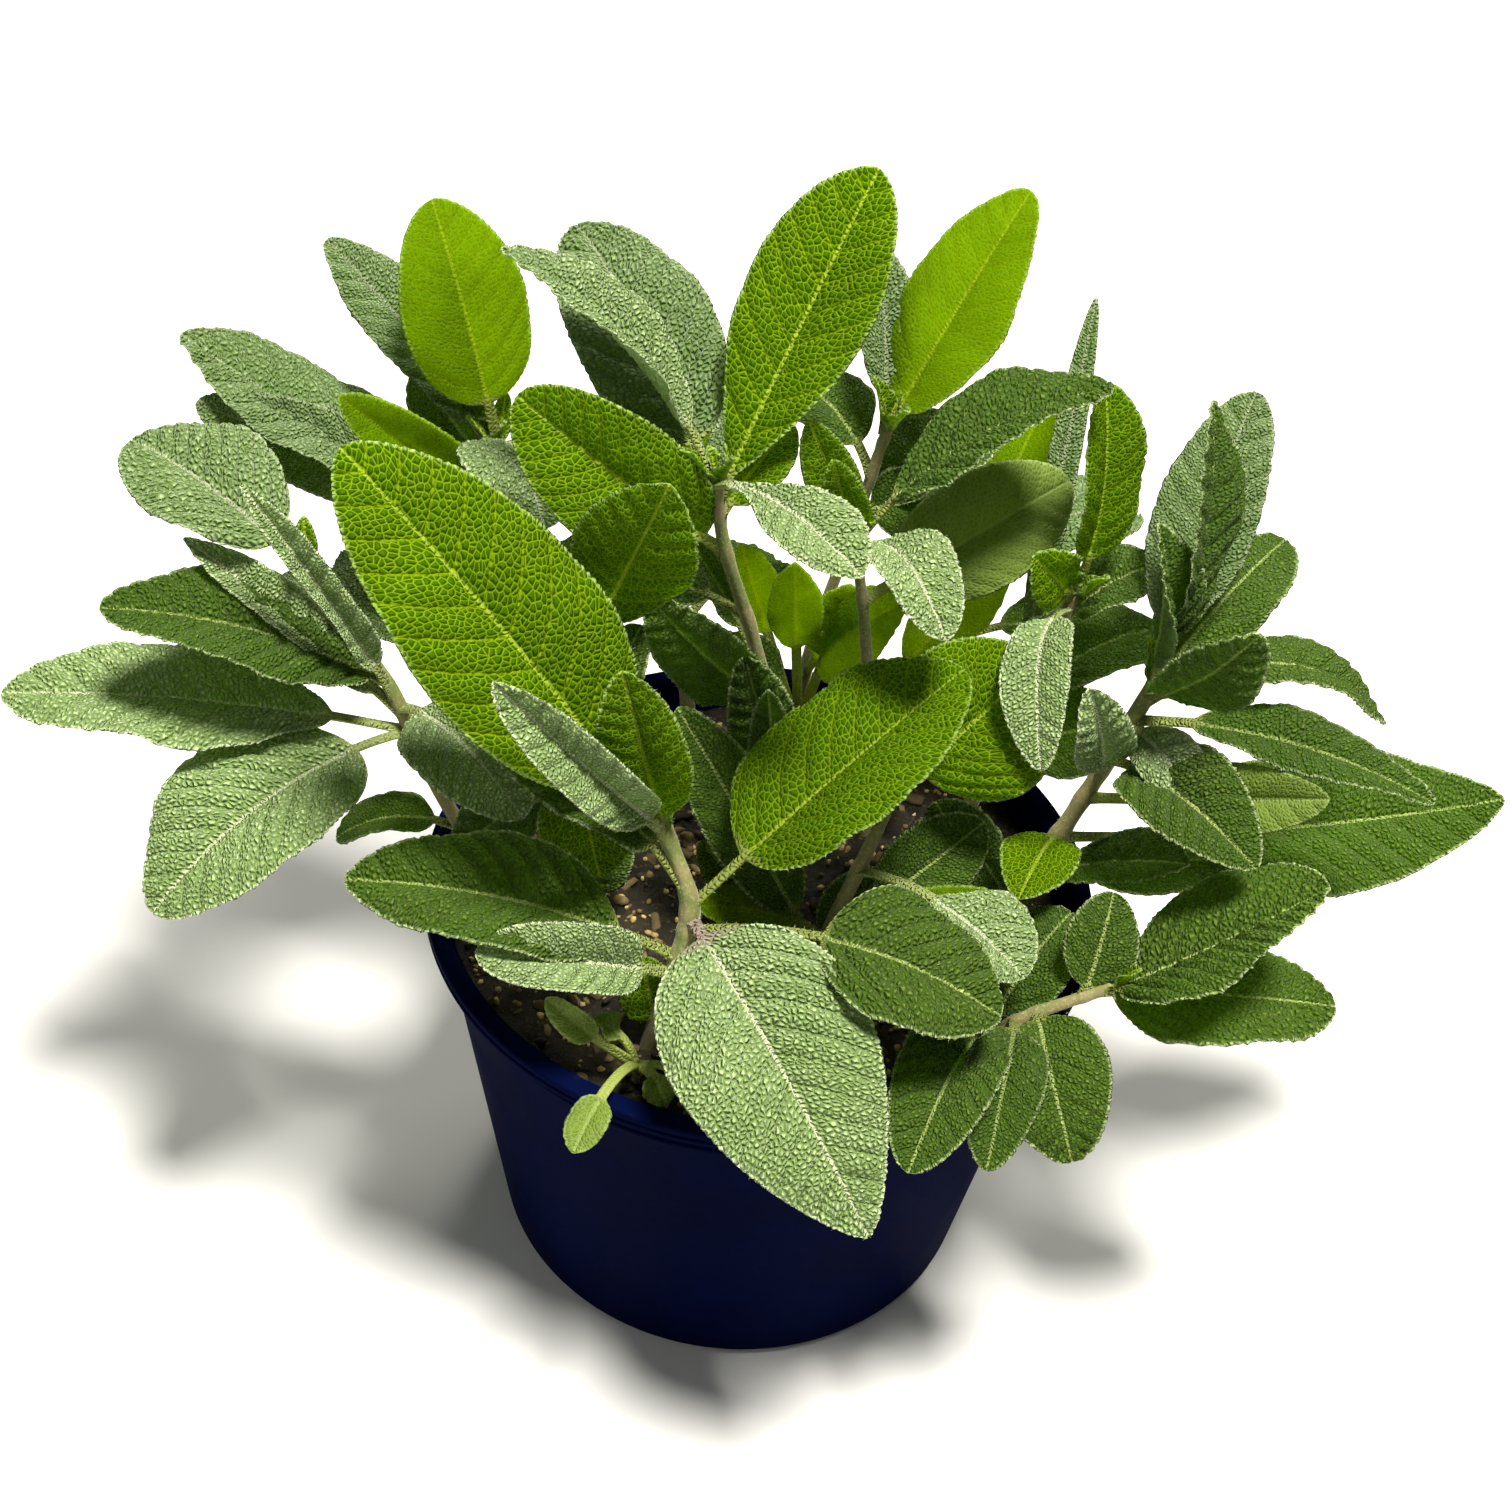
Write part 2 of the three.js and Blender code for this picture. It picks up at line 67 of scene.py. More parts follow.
# Each stem: its path from the soil up, its radius at the soil, and its leaves. A leaf's numbers
# are how far up the stem it leaves, its tip's x, y and z, its width, how far its middle arches,
# the roll and the fold of its blade in degrees, the kind of leaf it is, the spacing of its mesh,
# the share of its length that is petiole, and how far its outline tapers to a point or, below 0,
# widens like a spoon. The last two are 0.2 and 0 in a row that ends early.
Leaf = namedtuple("Leaf", "at x y z wide arch roll fold kind step petiole taper", defaults=(0.2, 0))
STEMS = {
    "stem_front": ([(-19, -42, 84), (-15, -43, 108), (-13, -39, 123), (-19, -34, 138)], 2.3, [
        (0.62, 25, -86, 90, 38, 11, 20, 10, "velvet", 0.5, 0.08, 1),
        (0.66, 34, -5, 158, 40, 1, -10, 12, "bright", 0.5),
        (1, -27, -40, 178, 17, 2, -115, 14, "bright", 0.5, 0.1),
        (0.97, -47, -52, 183, 15, 3, -88, 45, "velvet", 0.5, 0.12, 0.3),
        (0.93, -76, -26, 209, 36, 6, -38, 10, "bright", 0.5, 0.2, 0.2),
        (0.72, -57, -20, 152, 24, 6, 0, 10, "deep", 0.6),
        (0.42, -76, -45, 128, 27, 6, -10, 12, "deep", 0.5, 0.2, 0.2),
        (0.34, -50, -58, 125, 17, 4, -40, 40, "velvet", 0.5),
        (0.55, 46, -54, 117, 34, 8, 0, 8, "deep", 0.5, 0.42, 0.3),
    ]),
    "stem_left": ([(-57, 3, 84), (-69, 4, 110), (-77, 4, 134), (-92, 5, 160)], 1.8, [
        (0.5, -115, -40, 109, 36, 8, 0, 10, "velvet", 0.5),
        (0.5, -150, -8, 133, 31, 3, 0, 8, "velvet", 0.55, 0.2, -0.1),
        (0.66, -127, -10, 158, 25, 5, -10, 14, "deep", 0.55, 0.08, -0.05),
        (0.62, -99, -6, 185, 10, 2, -64, 50, "velvet", 0.6, 0.15, 0.6),
        (0.55, -114, 4, 165, 12, 2, -27, 30, "velvet", 0.6, 0.15, 0.6),
        (0.97, -129, 25, 172, 28, 4, -8, 14, "velvet", 0.55, 0.2, -0.05),
        (0.58, -46, -25, 128, 23, 8, 10, 8, "velvet", 0.55),
        (0.16, -89, 0, 94, 14, 5, 0, 12, "deep", 0.8),
    ]),
    "stem_back_left": ([(-36, 34, 84), (-48, 37, 118), (-56, 42, 145), (-61, 45, 165)], 1.9, [
        (1, -74, 52, 214, 26, 3, -35, 8, "fresh", 0.55),
        (0.9, -98, 66, 196, 18, 4, -10, 14, "velvet", 0.6),
        (0.62, -123, 45, 184, 32, -1, 0, 12, "velvet", 0.6),
        (0.7, -119, 36, 174, 18, 1, -57, 14, "velvet", 0.6),
        (0.7, -86, 18, 190, 15, 2, -80, 36, "fresh", 0.6, 0.15),
        (0.8, -79, 54, 175, 16, 2, -46, 12, "deep", 0.7),
        (0.97, -47, 12, 169, 26, 8, 0, 12, "velvet", 0.6),
        (0.55, -82, 58, 150, 22, 6, 0, 10, "deep", 0.85),
    ]),
    "stem_centre_left": ([(3, 22, 84), (1, 21, 112), (-6, 15, 145), (-13, 9, 172), (-15, 8, 186)], 1.8, [
        (0.72, -52, 10, 199, 27, 5, -70, 24, "bright", 0.5, 0.12),
        (1, -56, 20, 223, 18, 6, 8, 30, "velvet", 0.5),
        (0.87, -46, 50, 213, 28, 7, -12, 8, "velvet", 0.55),
        (0.93, 9, 35, 237, 26, 1, 20, 16, "bright", 0.5, 0.06, -0.4),
        (1, 12, -28, 194, 16, 6, 16, 10, "velvet", 0.5, 0.12, -1),
        (0.35, -25, -4, 166, 18, 3, -121, 12, "deep", 0.6, 0.15),
        (0.55, -44, 22, 146, 22, 7, 0, 10, "deep", 0.8),
        (0.4, -20, 26, 159, 9, 2, -14, 14, "deep", 0.6, 0.4),
        (0.3, -11, 27, 136, 15, 2, -20, 12, "deep", 0.7),
        (0.86, -2, 22, 191, 12, 2, 29, 14, "bright", 0.6, 0.12),
        (0.16, -7, 2, 150, 15, 3, -140, 12, "deep", 0.55, 0.15),
        (0.1, -2, -3, 146, 11, 2, -162, 14, "deep", 0.55, 0.15),
    ]),
    "stem_mid_left": ([(-36, -8, 84), (-39, -8, 110), (-38, -7, 135), (-36, -5, 158)], 1.7, [
        (1, -22, -20, 203, 23, 3, 126, 10, "bright", 0.5, 0.12, -0.5),
        (0.5, -28, 12, 148, 15, 1, 0, 14, "deep", 0.6),
        (0.45, -60, -24, 114, 18, 5, 0, 10, "deep", 0.7),
        (0.55, -31, -27, 116, 20, 4, 10, 12, "bright", 0.55),
    ]),
    "stem_centre_back": ([(6, 48, 84), (6, 46, 115), (12, 44, 150), (17, 42, 180)], 1.6, [
        (1, 39, 60, 223, 24, 1, 10, 8, "fresh", 0.55, 0.08),
        (0.97, 12, 66, 206, 12, 3, 0, 20, "velvet", 0.7),
        (0.85, -6, 62, 176, 20, 6, 0, 10, "deep", 0.8),
        (0.7, 40, 62, 168, 24, 5, 0, 12, "deep", 0.7),
        (0.1, -10, 34, 153, 12, 2, -116, 12, "fresh", 0.8, 0.6),
        (0.14, 13, 36, 144, 14, 2, 138, 12, "fresh", 0.85, 0.55),
        (0.08, 1, 28, 154, 12, 2, -161, 12, "fresh", 0.8, 0.6),
        (0.3, 24, 30, 146, 18, 4, 73, 12, "fresh", 0.7),
        (0.75, 28, 46, 161, 15, 2, 52, 12, "deep", 0.75, 0.15),
    ]),
    "stem_centre_right": ([(22, 22, 84), (20, 25, 115), (16, 23, 145), (12, 19, 168)], 1.6, [
        (1, 56, 24, 204, 27, 6, -5, 16, "deep", 0.5, 0.2, 0.2),
        (0.96, 29, -15, 172, 18, 8, 0, 14, "velvet", 0.5),
        (0.75, 54, 40, 172, 24, 4, 45, 12, "plain", 0.55, 0.15),
        (0.4, 45, 42, 148, 17, 2, 0, 10, "fresh", 0.8, 0.3),
        (0.99, 1, 15, 196, 11, 1, -92, 16, "bright", 0.55, 0.1),
        (0.93, 6, 10, 191, 10, 1, -129, 16, "bright", 0.55, 0.1),
    ]),
    "stem_right_back": ([(42, 28, 84), (48, 29, 110), (53, 28, 132), (57, 26, 155)], 1.9, [
        (1, 56, 33, 199, 18, 4, 30, 24, "bright", 0.55),
        (0.97, 46, 14, 171, 13, 2, -95, 14, "bright", 0.6, 0.3),
        (0.85, 73, 30, 161, 20, 3, 0, 12, "deep", 0.7),
        (0.5, 81, 44, 135, 22, 6, 0, 12, "deep", 0.85),
        (0.93, 51, -12, 140, 15, 12, 21, 16, "velvet", 0.5),
        (0.45, 57, 72, 195, 7, 4, 0, 16, "velvet", 0.8),
        (0.35, 74, 30, 120, 20, 2, 54, 12, "deep", 0.65, 0.15),
    ]),
    "stem_right": ([(50, 0, 84), (58, 2, 106), (66, 5, 128), (72, 5, 150)], 2.3, [
        (1, 73, 15, 208, 18, 4, 60, 20, "deep", 0.55, 0.2, 0.4),
        (0.96, 66, 4, 188, 15, 3, -40, 35, "deep", 0.55, 0.2, 0.4),
        (0.92, 120, 10, 142, 17, 13, 0, 12, "deep", 0.6, 0.2, 0.5),
        (0.86, 125, -15, 144, 15, 6, 10, 12, "deep", 0.55, 0.2, 0.5),
        (0.4, 151, 16, 120, 34, -5, 20, 8, "deep", 0.52, 0.3, 0.7),
        (0.95, 84, -15, 179, 18, 3, 140, 16, "deep", 0.55),
        (0.65, 57, -12, 161, 13, 4, -132, 16, "velvet", 0.55),
        (0.7, 91, -30, 137, 22, 6, 20, 24, "deep", 0.52, 0.2, 0.4),
        (0.4, 50, -22, 116, 16, 4, 0, 10, "bright", 0.55),
        (0.55, 104, -18, 145, 15, 2, 64, 12, "plain", 0.55, 0.25),
        (0.25, 83, -13, 121, 16, 2, 10, 12, "deep", 0.6),
        (0.98, 88, 50, 190, 21, 3, -10, 10, "velvet", 0.7),
        (0.9, 99, 40, 163, 22, 4, 0, 12, "deep", 0.7),
        (0.3, 95, -4, 115, 14, 2, 56, 12, "deep", 0.7),
        (0.85, 84, -14, 136, 13, 4, 35, 20, "velvet", 0.55, 0.15),
    ]),
    "stem_right_front": ([(44, -34, 84), (53, -36, 97), (69, -35, 107)], 1.8, [
        (1, 103, -35, 139, 35, -1, -10, 14, "deep", 0.5, 0.04, -0.05),
        (0.95, 112, -35, 108, 30, 1, 0, 8, "deep", 0.52, 0.04),
        (0.6, 63, -64, 89, 23, 9, 20, 10, "deep", 0.5, 0.08),
        (0.15, 31, -76, 97, 22, 10, 0, 24, "deep", 0.5),
        (0.45, 46, -71, 93, 16, 10, 0, 10, "deep", 0.6),
        (0.15, 62, -16, 108, 20, 4, 0, 10, "deep", 0.7),
        (0.85, 68, -22, 120, 15, 2, 13, 12, "deep", 0.6, 0.1),
    ]),
    "stem_centre": ([(12, -16, 84), (15, -18, 100), (20, -14, 116), (25, -6, 128)], 1.9, [
        (0.6, 51, -42, 115, 23, 5, 0, 8, "velvet", 0.5, 0.45, -0.15),
        (1, 50, 8, 151, 34, 3, 44, 10, "bright", 0.5, 0.15),
        (0.25, -12, -20, 104, 15, 3, 0, 10, "fresh", 0.7, 0.3),
        (0.2, 44, 0, 115, 18, 2, 44, 12, "deep", 0.75, 0.35),
        (0.15, 49, -22, 114, 13, 3, 36, 12, "fresh", 0.7, 0.35),
        (0.12, -19, -4, 141, 17, 3, -43, 12, "deep", 0.55),
    ]),
    "stem_back": ([(-18, 46, 84), (-21, 52, 108), (-25, 58, 128), (-27, 62, 142)], 1.9, [
        (1, -34, 78, 178, 22, 5, 0, 12, "fresh", 0.75),
        (0.97, -10, 80, 160, 20, 5, 0, 12, "velvet", 0.75),
        (0.85, -56, 88, 140, 26, 8, 0, 10, "velvet", 0.75),
        (0.7, -24, 104, 116, 28, 11, 0, 10, "velvet", 0.75, 0.2, 0.3),
        (0.5, -60, 70, 110, 24, 9, 0, 10, "deep", 0.8),
        (0.45, 2, 84, 110, 22, 9, 0, 10, "deep", 0.8),
    ]),
    "stem_back_right": ([(27, 45, 84), (34, 52, 108), (40, 58, 126), (43, 62, 138)], 1.9, [
        (1, 54, 78, 172, 22, 5, 0, 12, "fresh", 0.75),
        (0.97, 26, 82, 158, 20, 5, 0, 12, "deep", 0.75),
        (0.85, 76, 78, 140, 26, 7, 0, 10, "velvet", 0.75),
        (0.7, 46, 106, 112, 28, 11, 0, 10, "velvet", 0.75, 0.2, 0.3),
        (0.5, 86, 60, 112, 24, 9, 0, 10, "deep", 0.8),
        (0.4, 28, 86, 104, 20, 9, 0, 10, "deep", 0.8),
    ]),
    "stem_left_back": ([(-50, 26, 84), (-62, 32, 104), (-73, 36, 118)], 1.7, [
        (1, -96, 58, 126, 24, 5, 0, 12, "velvet", 0.75, 0.2, 0.3),
        (0.95, -112, 30, 132, 20, 4, 0, 12, "velvet", 0.7),
        (0.6, -82, 66, 106, 22, 8, 0, 10, "deep", 0.8),
    ]),
    "seedling": ([(-20.5, -50, 84), (-20.5, -51, 91)], 1.0, [
        (1, -30, -76, 94, 8.5, 5, 0, 6, "plain", 0.45, 0.6),
        (0.9, -38, -52, 108, 7, 2, -64, 24, "plain", 0.45, 0.5),
        (0.8, -29, -50, 102, 6.5, 2, 0, 10, "plain", 0.45, 0.6),
        (0.95, -14, -60, 90, 7.5, 3, 0, 10, "plain", 0.45, 0.5),
        (0.85, -8, -56, 89, 7.5, 4, 0, 10, "plain", 0.45, 0.5),
    ]),
}

# Small leaves low on the stems, too small for the CAD: how far up the stem each one leaves, its
# tip's x, y and z, its width, its roll and its kind.
LOW_LEAVES = {
    "stem_front": [(0.1, -22, -37, 106, 12, -21, "bright")],
    "stem_centre_left": [(0.06, -17, 17, 108, 13, -52, "deep")],
    "stem_mid_left": [(0.1, -28, -4, 108, 14, 43, "deep")],
    "stem_centre_right": [(0.12, 28, 30, 112, 15, 26, "deep")],
    "stem_right": [(0.06, 35, 15, 106, 17, -32, "deep"), (0.1, 45, -2, 106, 14, -78, "deep")],
    "stem_right_front": [(0.1, 28, -23, 104, 13, -34, "deep")],
    "stem_centre": [(0.03, -13, -4, 106, 13, -34, "bright"), (0.05, 25, -5, 104, 14, 25, "deep")],
}
# The lengths of the young leaves round each stem's tip, and how far up the stem they leave it.
TIP_LEAVES = (11, 9, 7)
TIP_SHARE = 0.985

# The looks of each kind of leaf: the green of its hollows, the grey of its hairy swellings, its
# veins, its margin and its midrib, the light that comes through it and through its veins, how much
# comes through, how far the hairs hide the green and what share of that they hide in the hollows,
# its shine and sheen, how strongly the light shows its cells, and how deep its quilting is. The
# colour of the veins is painted shade in the grooves of the velvet and deep leaves, and painted
# light, the back light through the veins, on the bright ones. The smaller share in the hollows
# paints them darker, which is painted shade. The backlit kind is a lit copy of the bright look,
# painted a lighter yellow-green, which is painted light.
LEAF_LOOKS = {
    "velvet": dict(
        green=(0.072, 0.138, 0.012), grey=(0.6, 0.77, 0.35), vein_light_and_shade=(0.13, 0.22, 0.035),
        margin=(0.8, 0.9, 0.55), rib=(0.8, 0.82, 0.55), glow=(0.42, 0.68, 0.03),
        glow_vein=(0.6, 0.84, 0.12), through=0.26, hairs=0.94, hollow_shade=0.38,
        shine=0.25, sheen=0.22, relief=1.0, quilting=0.54,
    ),
    "deep": dict(
        green=(0.042, 0.088, 0.002), grey=(0.155, 0.222, 0.034), vein_light_and_shade=(0.03, 0.075, 0.002),
        margin=(0.6, 0.7, 0.34), rib=(0.5, 0.6, 0.2), glow=(0.34, 0.6, 0.004),
        glow_vein=(0.6, 0.85, 0.04), through=0.34, hairs=0.86, hollow_shade=0.16,
        shine=0.2, sheen=0.04, relief=1.0, quilting=0.54,
    ),
    "bright": dict(
        green=(0.04, 0.1, 0.001), grey=(0.115, 0.21, 0.002), vein_light_and_shade=(0.37, 0.54, 0.01),
        margin=(0.52, 0.68, 0.2), rib=(0.46, 0.6, 0.06), glow=(0.26, 0.47, 0.002),
        glow_vein=(0.66, 0.82, 0.035), through=0.56, hairs=0.6, hollow_shade=0.2,
        shine=0.03, sheen=0.0, relief=0.5, quilting=0.34,
    ),
    # Leaves that stand against the back light: a lit copy of the bright look, painted a lighter
    # yellow-green, which is painted light.
    "fresh": dict(
        green=(0.085, 0.14, 0.001), grey=(0.16, 0.24, 0.004), vein_light_and_shade=(0.13, 0.22, 0.006),
        margin=(0.44, 0.58, 0.14), rib=(0.3, 0.42, 0.02), glow=(0.54, 0.77, 0.002),
        glow_vein=(0.72, 0.86, 0.01), through=0.68, hairs=0.5, hollow_shade=0.3,
        shine=0.03, sheen=0.0, relief=0.25, quilting=0.16,
    ),
    "plain": dict(
        green=(0.13, 0.19, 0.02), grey=(0.22, 0.29, 0.06), vein_light_and_shade=(0.24, 0.32, 0.08),
        margin=(0.32, 0.4, 0.14), rib=(0.28, 0.36, 0.1), glow=(0.36, 0.52, 0.04),
        glow_vein=(0.5, 0.66, 0.1), through=0.34, hairs=0.4, hollow_shade=0.4,
        shine=0.2, sheen=0.0, relief=0.15, quilting=0.06,
    ),
}
KINDS = list(LEAF_LOOKS)
STALK_GREEN = (0.31, 0.37, 0.085)
STALK_PURPLE = (0.30, 0.20, 0.18)
RIB_PALE = (0.44, 0.52, 0.20)
LEAF_SHADE = (0.025, 0.07, 0.006)

# The length and the depth of the margin's teeth, and the thickness of a blade.
TOOTH = 1.5
TOOTH_DEPTH = 0.3
BLADE_THICK = 0.42
# How much coarser the leaves are meshed than their rows say, and the spacing along a petiole.
COARSER = 1.18
STALK_STEP = 1.8
# The corners of a stem's section and of the pot's and the compost's rings.
AROUND = {"stem": 12, "pot": 128, "soil": 240}
# The width of a leaf whose net and ruffles have their full size, and the turn from one leaf's
# waves to the next one's.
FULL_WIDTH = 26
PHASE_STEP = 1.7
# How far from its edge a cell of the net reaches its full height, in the net's own measure.
DOME = 0.42
# How far the net is shifted from one leaf to the next, so that no two are alike.
NET_SHIFT = (23.0, 17.0)
# The least and the greatest distance from one side vein to the next.
VEIN_PITCH = (3.5, 7.5)
# The hairs: their lengths and thickness, the shares of the places that bear one, and how many grow
# on a stem. Their material comes after the stem's and the two of each kind of leaf.
HAIR_LENGTH = (0.3, 0.75)
HAIR_THICK = 0.035
HAIR_SHARES = {"margin": 0.12, "petiole": 0.1}
STEM_HAIRS = 190
HAIR_SLOT = 1 + 2 * len(KINDS)
# The seeds of the tips' turns, the leaves' tones, the leaves' hairs and the compost's bits.
SEEDS = {"tips": 21, "tones": 5, "hairs": 1000, "bits": 11}


# Small helpers.


def add_object(name, data):
    """A new object in the scene."""
    made = bpy.data.objects.new(name, data)
    bpy.context.scene.collection.objects.link(made)
    return made


def smooth(value, low, high):
    """0 below low, 1 above high, and an even curve between."""
    x = np.clip((value - low) / (high - low), 0.0, 1.0)
    return x * x * (3 - 2 * x)


def unit(vectors):
    """Vectors of the same directions and of length 1."""
    return vectors / np.linalg.norm(vectors, axis=-1, keepdims=True)


def walked(line):
    """The length walked along a line of points, at each of them."""
    steps = np.linalg.norm(np.diff(line, axis=0), axis=1)
    return np.concatenate([[0], np.cumsum(steps)])


def angles(count):
    """Even angles round a whole turn."""
    return np.arange(count) * 2 * np.pi / count


def turned_about(vector, axis, degrees):
    """A vector turned about a unit axis."""
    angle = np.radians(degrees)
    along = axis * (axis @ vector) * (1 - np.cos(angle))
    return vector * np.cos(angle) + np.cross(axis, vector) * np.sin(angle) + along


def curve_point(path, share):
    """A point of the centripetal curve through a stem's path, at a share of its spans."""
    points = [np.array(p, float) for p in path]
    spans = len(points) - 1
    i = min(int(spans * share), spans - 1)
    w = spans * share - i
    p1, p2 = points[i], points[i + 1]
    p0 = points[i - 1] if i else 2 * p1 - p2
    p3 = points[i + 2] if i + 2 <= spans else 2 * p2 - p1
    d0, d1, d2 = (np.linalg.norm(b - a) ** 0.5 for a, b in ((p0, p1), (p1, p2), (p2, p3)))
    leave = ((p1 - p0) / d0 - (p2 - p0) / (d0 + d1) + (p2 - p1) / d1) * d1
    arrive = ((p2 - p1) / d1 - (p3 - p1) / (d1 + d2) + (p3 - p2) / d2) * d1
    bend = 3 * (p2 - p1) - 2 * leave - arrive
    turn = 2 * (p1 - p2) + leave + arrive
    return p1 + leave * w + bend * w**2 + turn * w**3


def value_noise(x, y, cell, seed):
    """Smooth random heights from -1 to 1 over the plane, with hills about one cell across."""
    size = 64
    table = np.random.default_rng(seed).uniform(-1, 1, (size, size))
    gx, gy = x / cell, y / cell
    ix, iy = np.floor(gx).astype(int), np.floor(gy).astype(int)
    fx, fy = smooth(gx - ix, 0, 1), smooth(gy - iy, 0, 1)
    a, b, c, d = (table[(ix + i) % size, (iy + j) % size] for j in (0, 1) for i in (0, 1))
    return (a * (1 - fx) + b * fx) * (1 - fy) + (c * (1 - fx) + d * fx) * fy


def set_cells(node, feature="DISTANCE_TO_EDGE"):
    """The net's cells: the shaders and the shapes must use the same ones."""
    node.voronoi_dimensions = "2D"
    node.feature = feature
    node.inputs["Scale"].default_value = 1.0
    node.inputs["Randomness"].default_value = 0.85


def net_edge(places):
    """How far each place is from its cell's edge, in the same net of cells as the shaders draw."""
    mesh = bpy.data.meshes.new("net_probe")
    mesh.vertices.add(len(places))
    flat = np.pad(places, ((0, 0), (0, 1))).astype(np.float32)
    mesh.vertices.foreach_set("co", flat.ravel())
    tree = bpy.data.node_groups.new("net_probe", "GeometryNodeTree")
    for way in ("INPUT", "OUTPUT"):
        tree.interface.new_socket("Geometry", in_out=way, socket_type="NodeSocketGeometry")
    start = tree.nodes.new("NodeGroupInput")
    end = tree.nodes.new("NodeGroupOutput")
    position = tree.nodes.new("GeometryNodeInputPosition")
    cells = tree.nodes.new("ShaderNodeTexVoronoi")
    set_cells(cells)
    store = tree.nodes.new("GeometryNodeStoreNamedAttribute")
    store.data_type = "FLOAT"
    store.domain = "POINT"
    store.inputs["Name"].default_value = "edge"
    tree.links.new(position.outputs["Position"], cells.inputs["Vector"])
    tree.links.new(cells.outputs["Distance"], store.inputs["Value"])
    tree.links.new(start.outputs[0], store.inputs["Geometry"])
    tree.links.new(store.outputs["Geometry"], end.inputs[0])
    probe = add_object("net_probe", mesh)
    probe.modifiers.new("net", "NODES").node_group = tree
    graph = bpy.context.evaluated_depsgraph_get()
    found = probe.evaluated_get(graph).data.attributes["edge"].data
    edge = np.zeros(len(places), np.float32)
    found.foreach_get("value", edge)
    bpy.data.objects.remove(probe)
    bpy.data.meshes.remove(mesh)
    bpy.data.node_groups.remove(tree)
    return edge


def ring_quads(rows, around):
    """The faces between neighbouring rings."""
    i = np.arange(rows - 1)[:, None] * around
    j = np.arange(around)[None, :]
    k = (j + 1) % around
    corners = [i + j, i + k, i + around + k, i + around + j]
    return np.stack(corners, -1).reshape(-1, 4)


class Skin:
    """Collects the points, faces and shader values of one piece."""

    def __init__(self):
        self.points, self.quads, self.triangles = [], [], []
        self.quad_slots, self.triangle_slots = [], []
        self.values = {"net": [], "edge": [], "tint": []}
        self.count = 0

    def add(self, points, quads, triangles, slot=0, quad_slots=None, **values):
        """Adds a part. Its faces take one material slot, unless its quads have their own."""
        self.points.append(points)
        self.quads.append(quads + self.count)
        self.triangles.append(triangles + self.count)
        self.quad_slots.append(np.full(len(quads), slot) if quad_slots is None else quad_slots)
        self.triangle_slots.append(np.full(len(triangles), slot))
        for key, parts in self.values.items():
            parts.append(values.get(key, np.zeros((len(points), 3))))
        self.count += len(points)

    def add_rings(self, rings, low, high):
        """Adds a closed skin of rings that ends in the point low below and the point high above."""
        rows, around = rings.shape[:2]
        j = np.arange(around)
        k = (j + 1) % around
        last = (rows - 1) * around
        bottom = np.stack([k, j, np.full(around, rows * around)], -1)
        top = np.stack([last + j, last + k, np.full(around, rows * around + 1)], -1)
        points = np.concatenate([rings.reshape(-1, 3), [low, high]])
        self.add(points, ring_quads(rows, around), np.concatenate([bottom, top]))

    def build(self, name, materials):
        """Makes the mesh object."""
        quads, triangles = np.concatenate(self.quads), np.concatenate(self.triangles)
        mesh = bpy.data.meshes.new(name)
        mesh.vertices.add(self.count)
        points = np.concatenate(self.points) * MM
        mesh.vertices.foreach_set("co", points.astype(np.float32).ravel())
        mesh.loops.add(quads.size + triangles.size)
        corners = np.concatenate([quads.ravel(), triangles.ravel()]).astype(np.int32)
        mesh.loops.foreach_set("vertex_index", corners)
        mesh.polygons.add(len(quads) + len(triangles))
        starts = [np.arange(len(quads)) * 4, quads.size + np.arange(len(triangles)) * 3]
        mesh.polygons.foreach_set("loop_start", np.concatenate(starts).astype(np.int32))
        slots = np.concatenate(self.quad_slots + self.triangle_slots).astype(np.int32)
        mesh.polygons.foreach_set("material_index", slots)
        for material in materials:
            mesh.materials.append(material)
        for key, parts in self.values.items():
            layer = mesh.attributes.new(key, "FLOAT_VECTOR", "POINT")
            layer.data.foreach_set("vector", np.concatenate(parts).astype(np.float32).ravel())
        mesh.update(calc_edges=True)
        mesh.shade_smooth()
        return add_object(name, mesh)


# Leaves.


# A leaf's grid of places, the way out of its face, the share of the blade passed, the share of the
# half width, the distance from the midrib, the half width, the distance along the blade, and the
# length of the whole leaf.
Form = namedtuple("Form", "places out u v w half s length")


def leaf_rows(leaf, length):
    """Where the rows of a leaf lie: shares of the whole line, and of the blade."""
    petiole = leaf.petiole
    stalk_rows = max(3, round(petiole * length / STALK_STEP))
    blade_rows = max(12, round((1 - petiole) * length / (leaf.step * COARSER)))
    x = np.linspace(0, 1, blade_rows + 1)
    on_blade = 0.6 * x + 0.2 * (1 - np.cos(np.pi * x))
    stalk = petiole * np.arange(stalk_rows) / stalk_rows
    t = np.concatenate([stalk, petiole + (1 - petiole) * on_blade])
    return t, np.concatenate([np.zeros(stalk_rows), on_blade])


def half_width(leaf, u, run):
    """Half the width of a leaf: its blade's, or its stalk's and midrib's where that is wider."""
    turn = np.pi * u ** (WIDEST - (TAPER if leaf.taper > 0 else SPOON) * leaf.taper)
    blade = leaf.wide / 2 * np.abs(np.sin(turn)) ** (FULLNESS + TAPER * abs(leaf.taper))
    thin = smooth(u, 0.1, 1)
    stalk = (1.08 + 0.5 * np.exp(-run / 2.5)) * (1 - thin) + 0.3 * thin
    return (blade**4 + stalk**4) ** 0.25


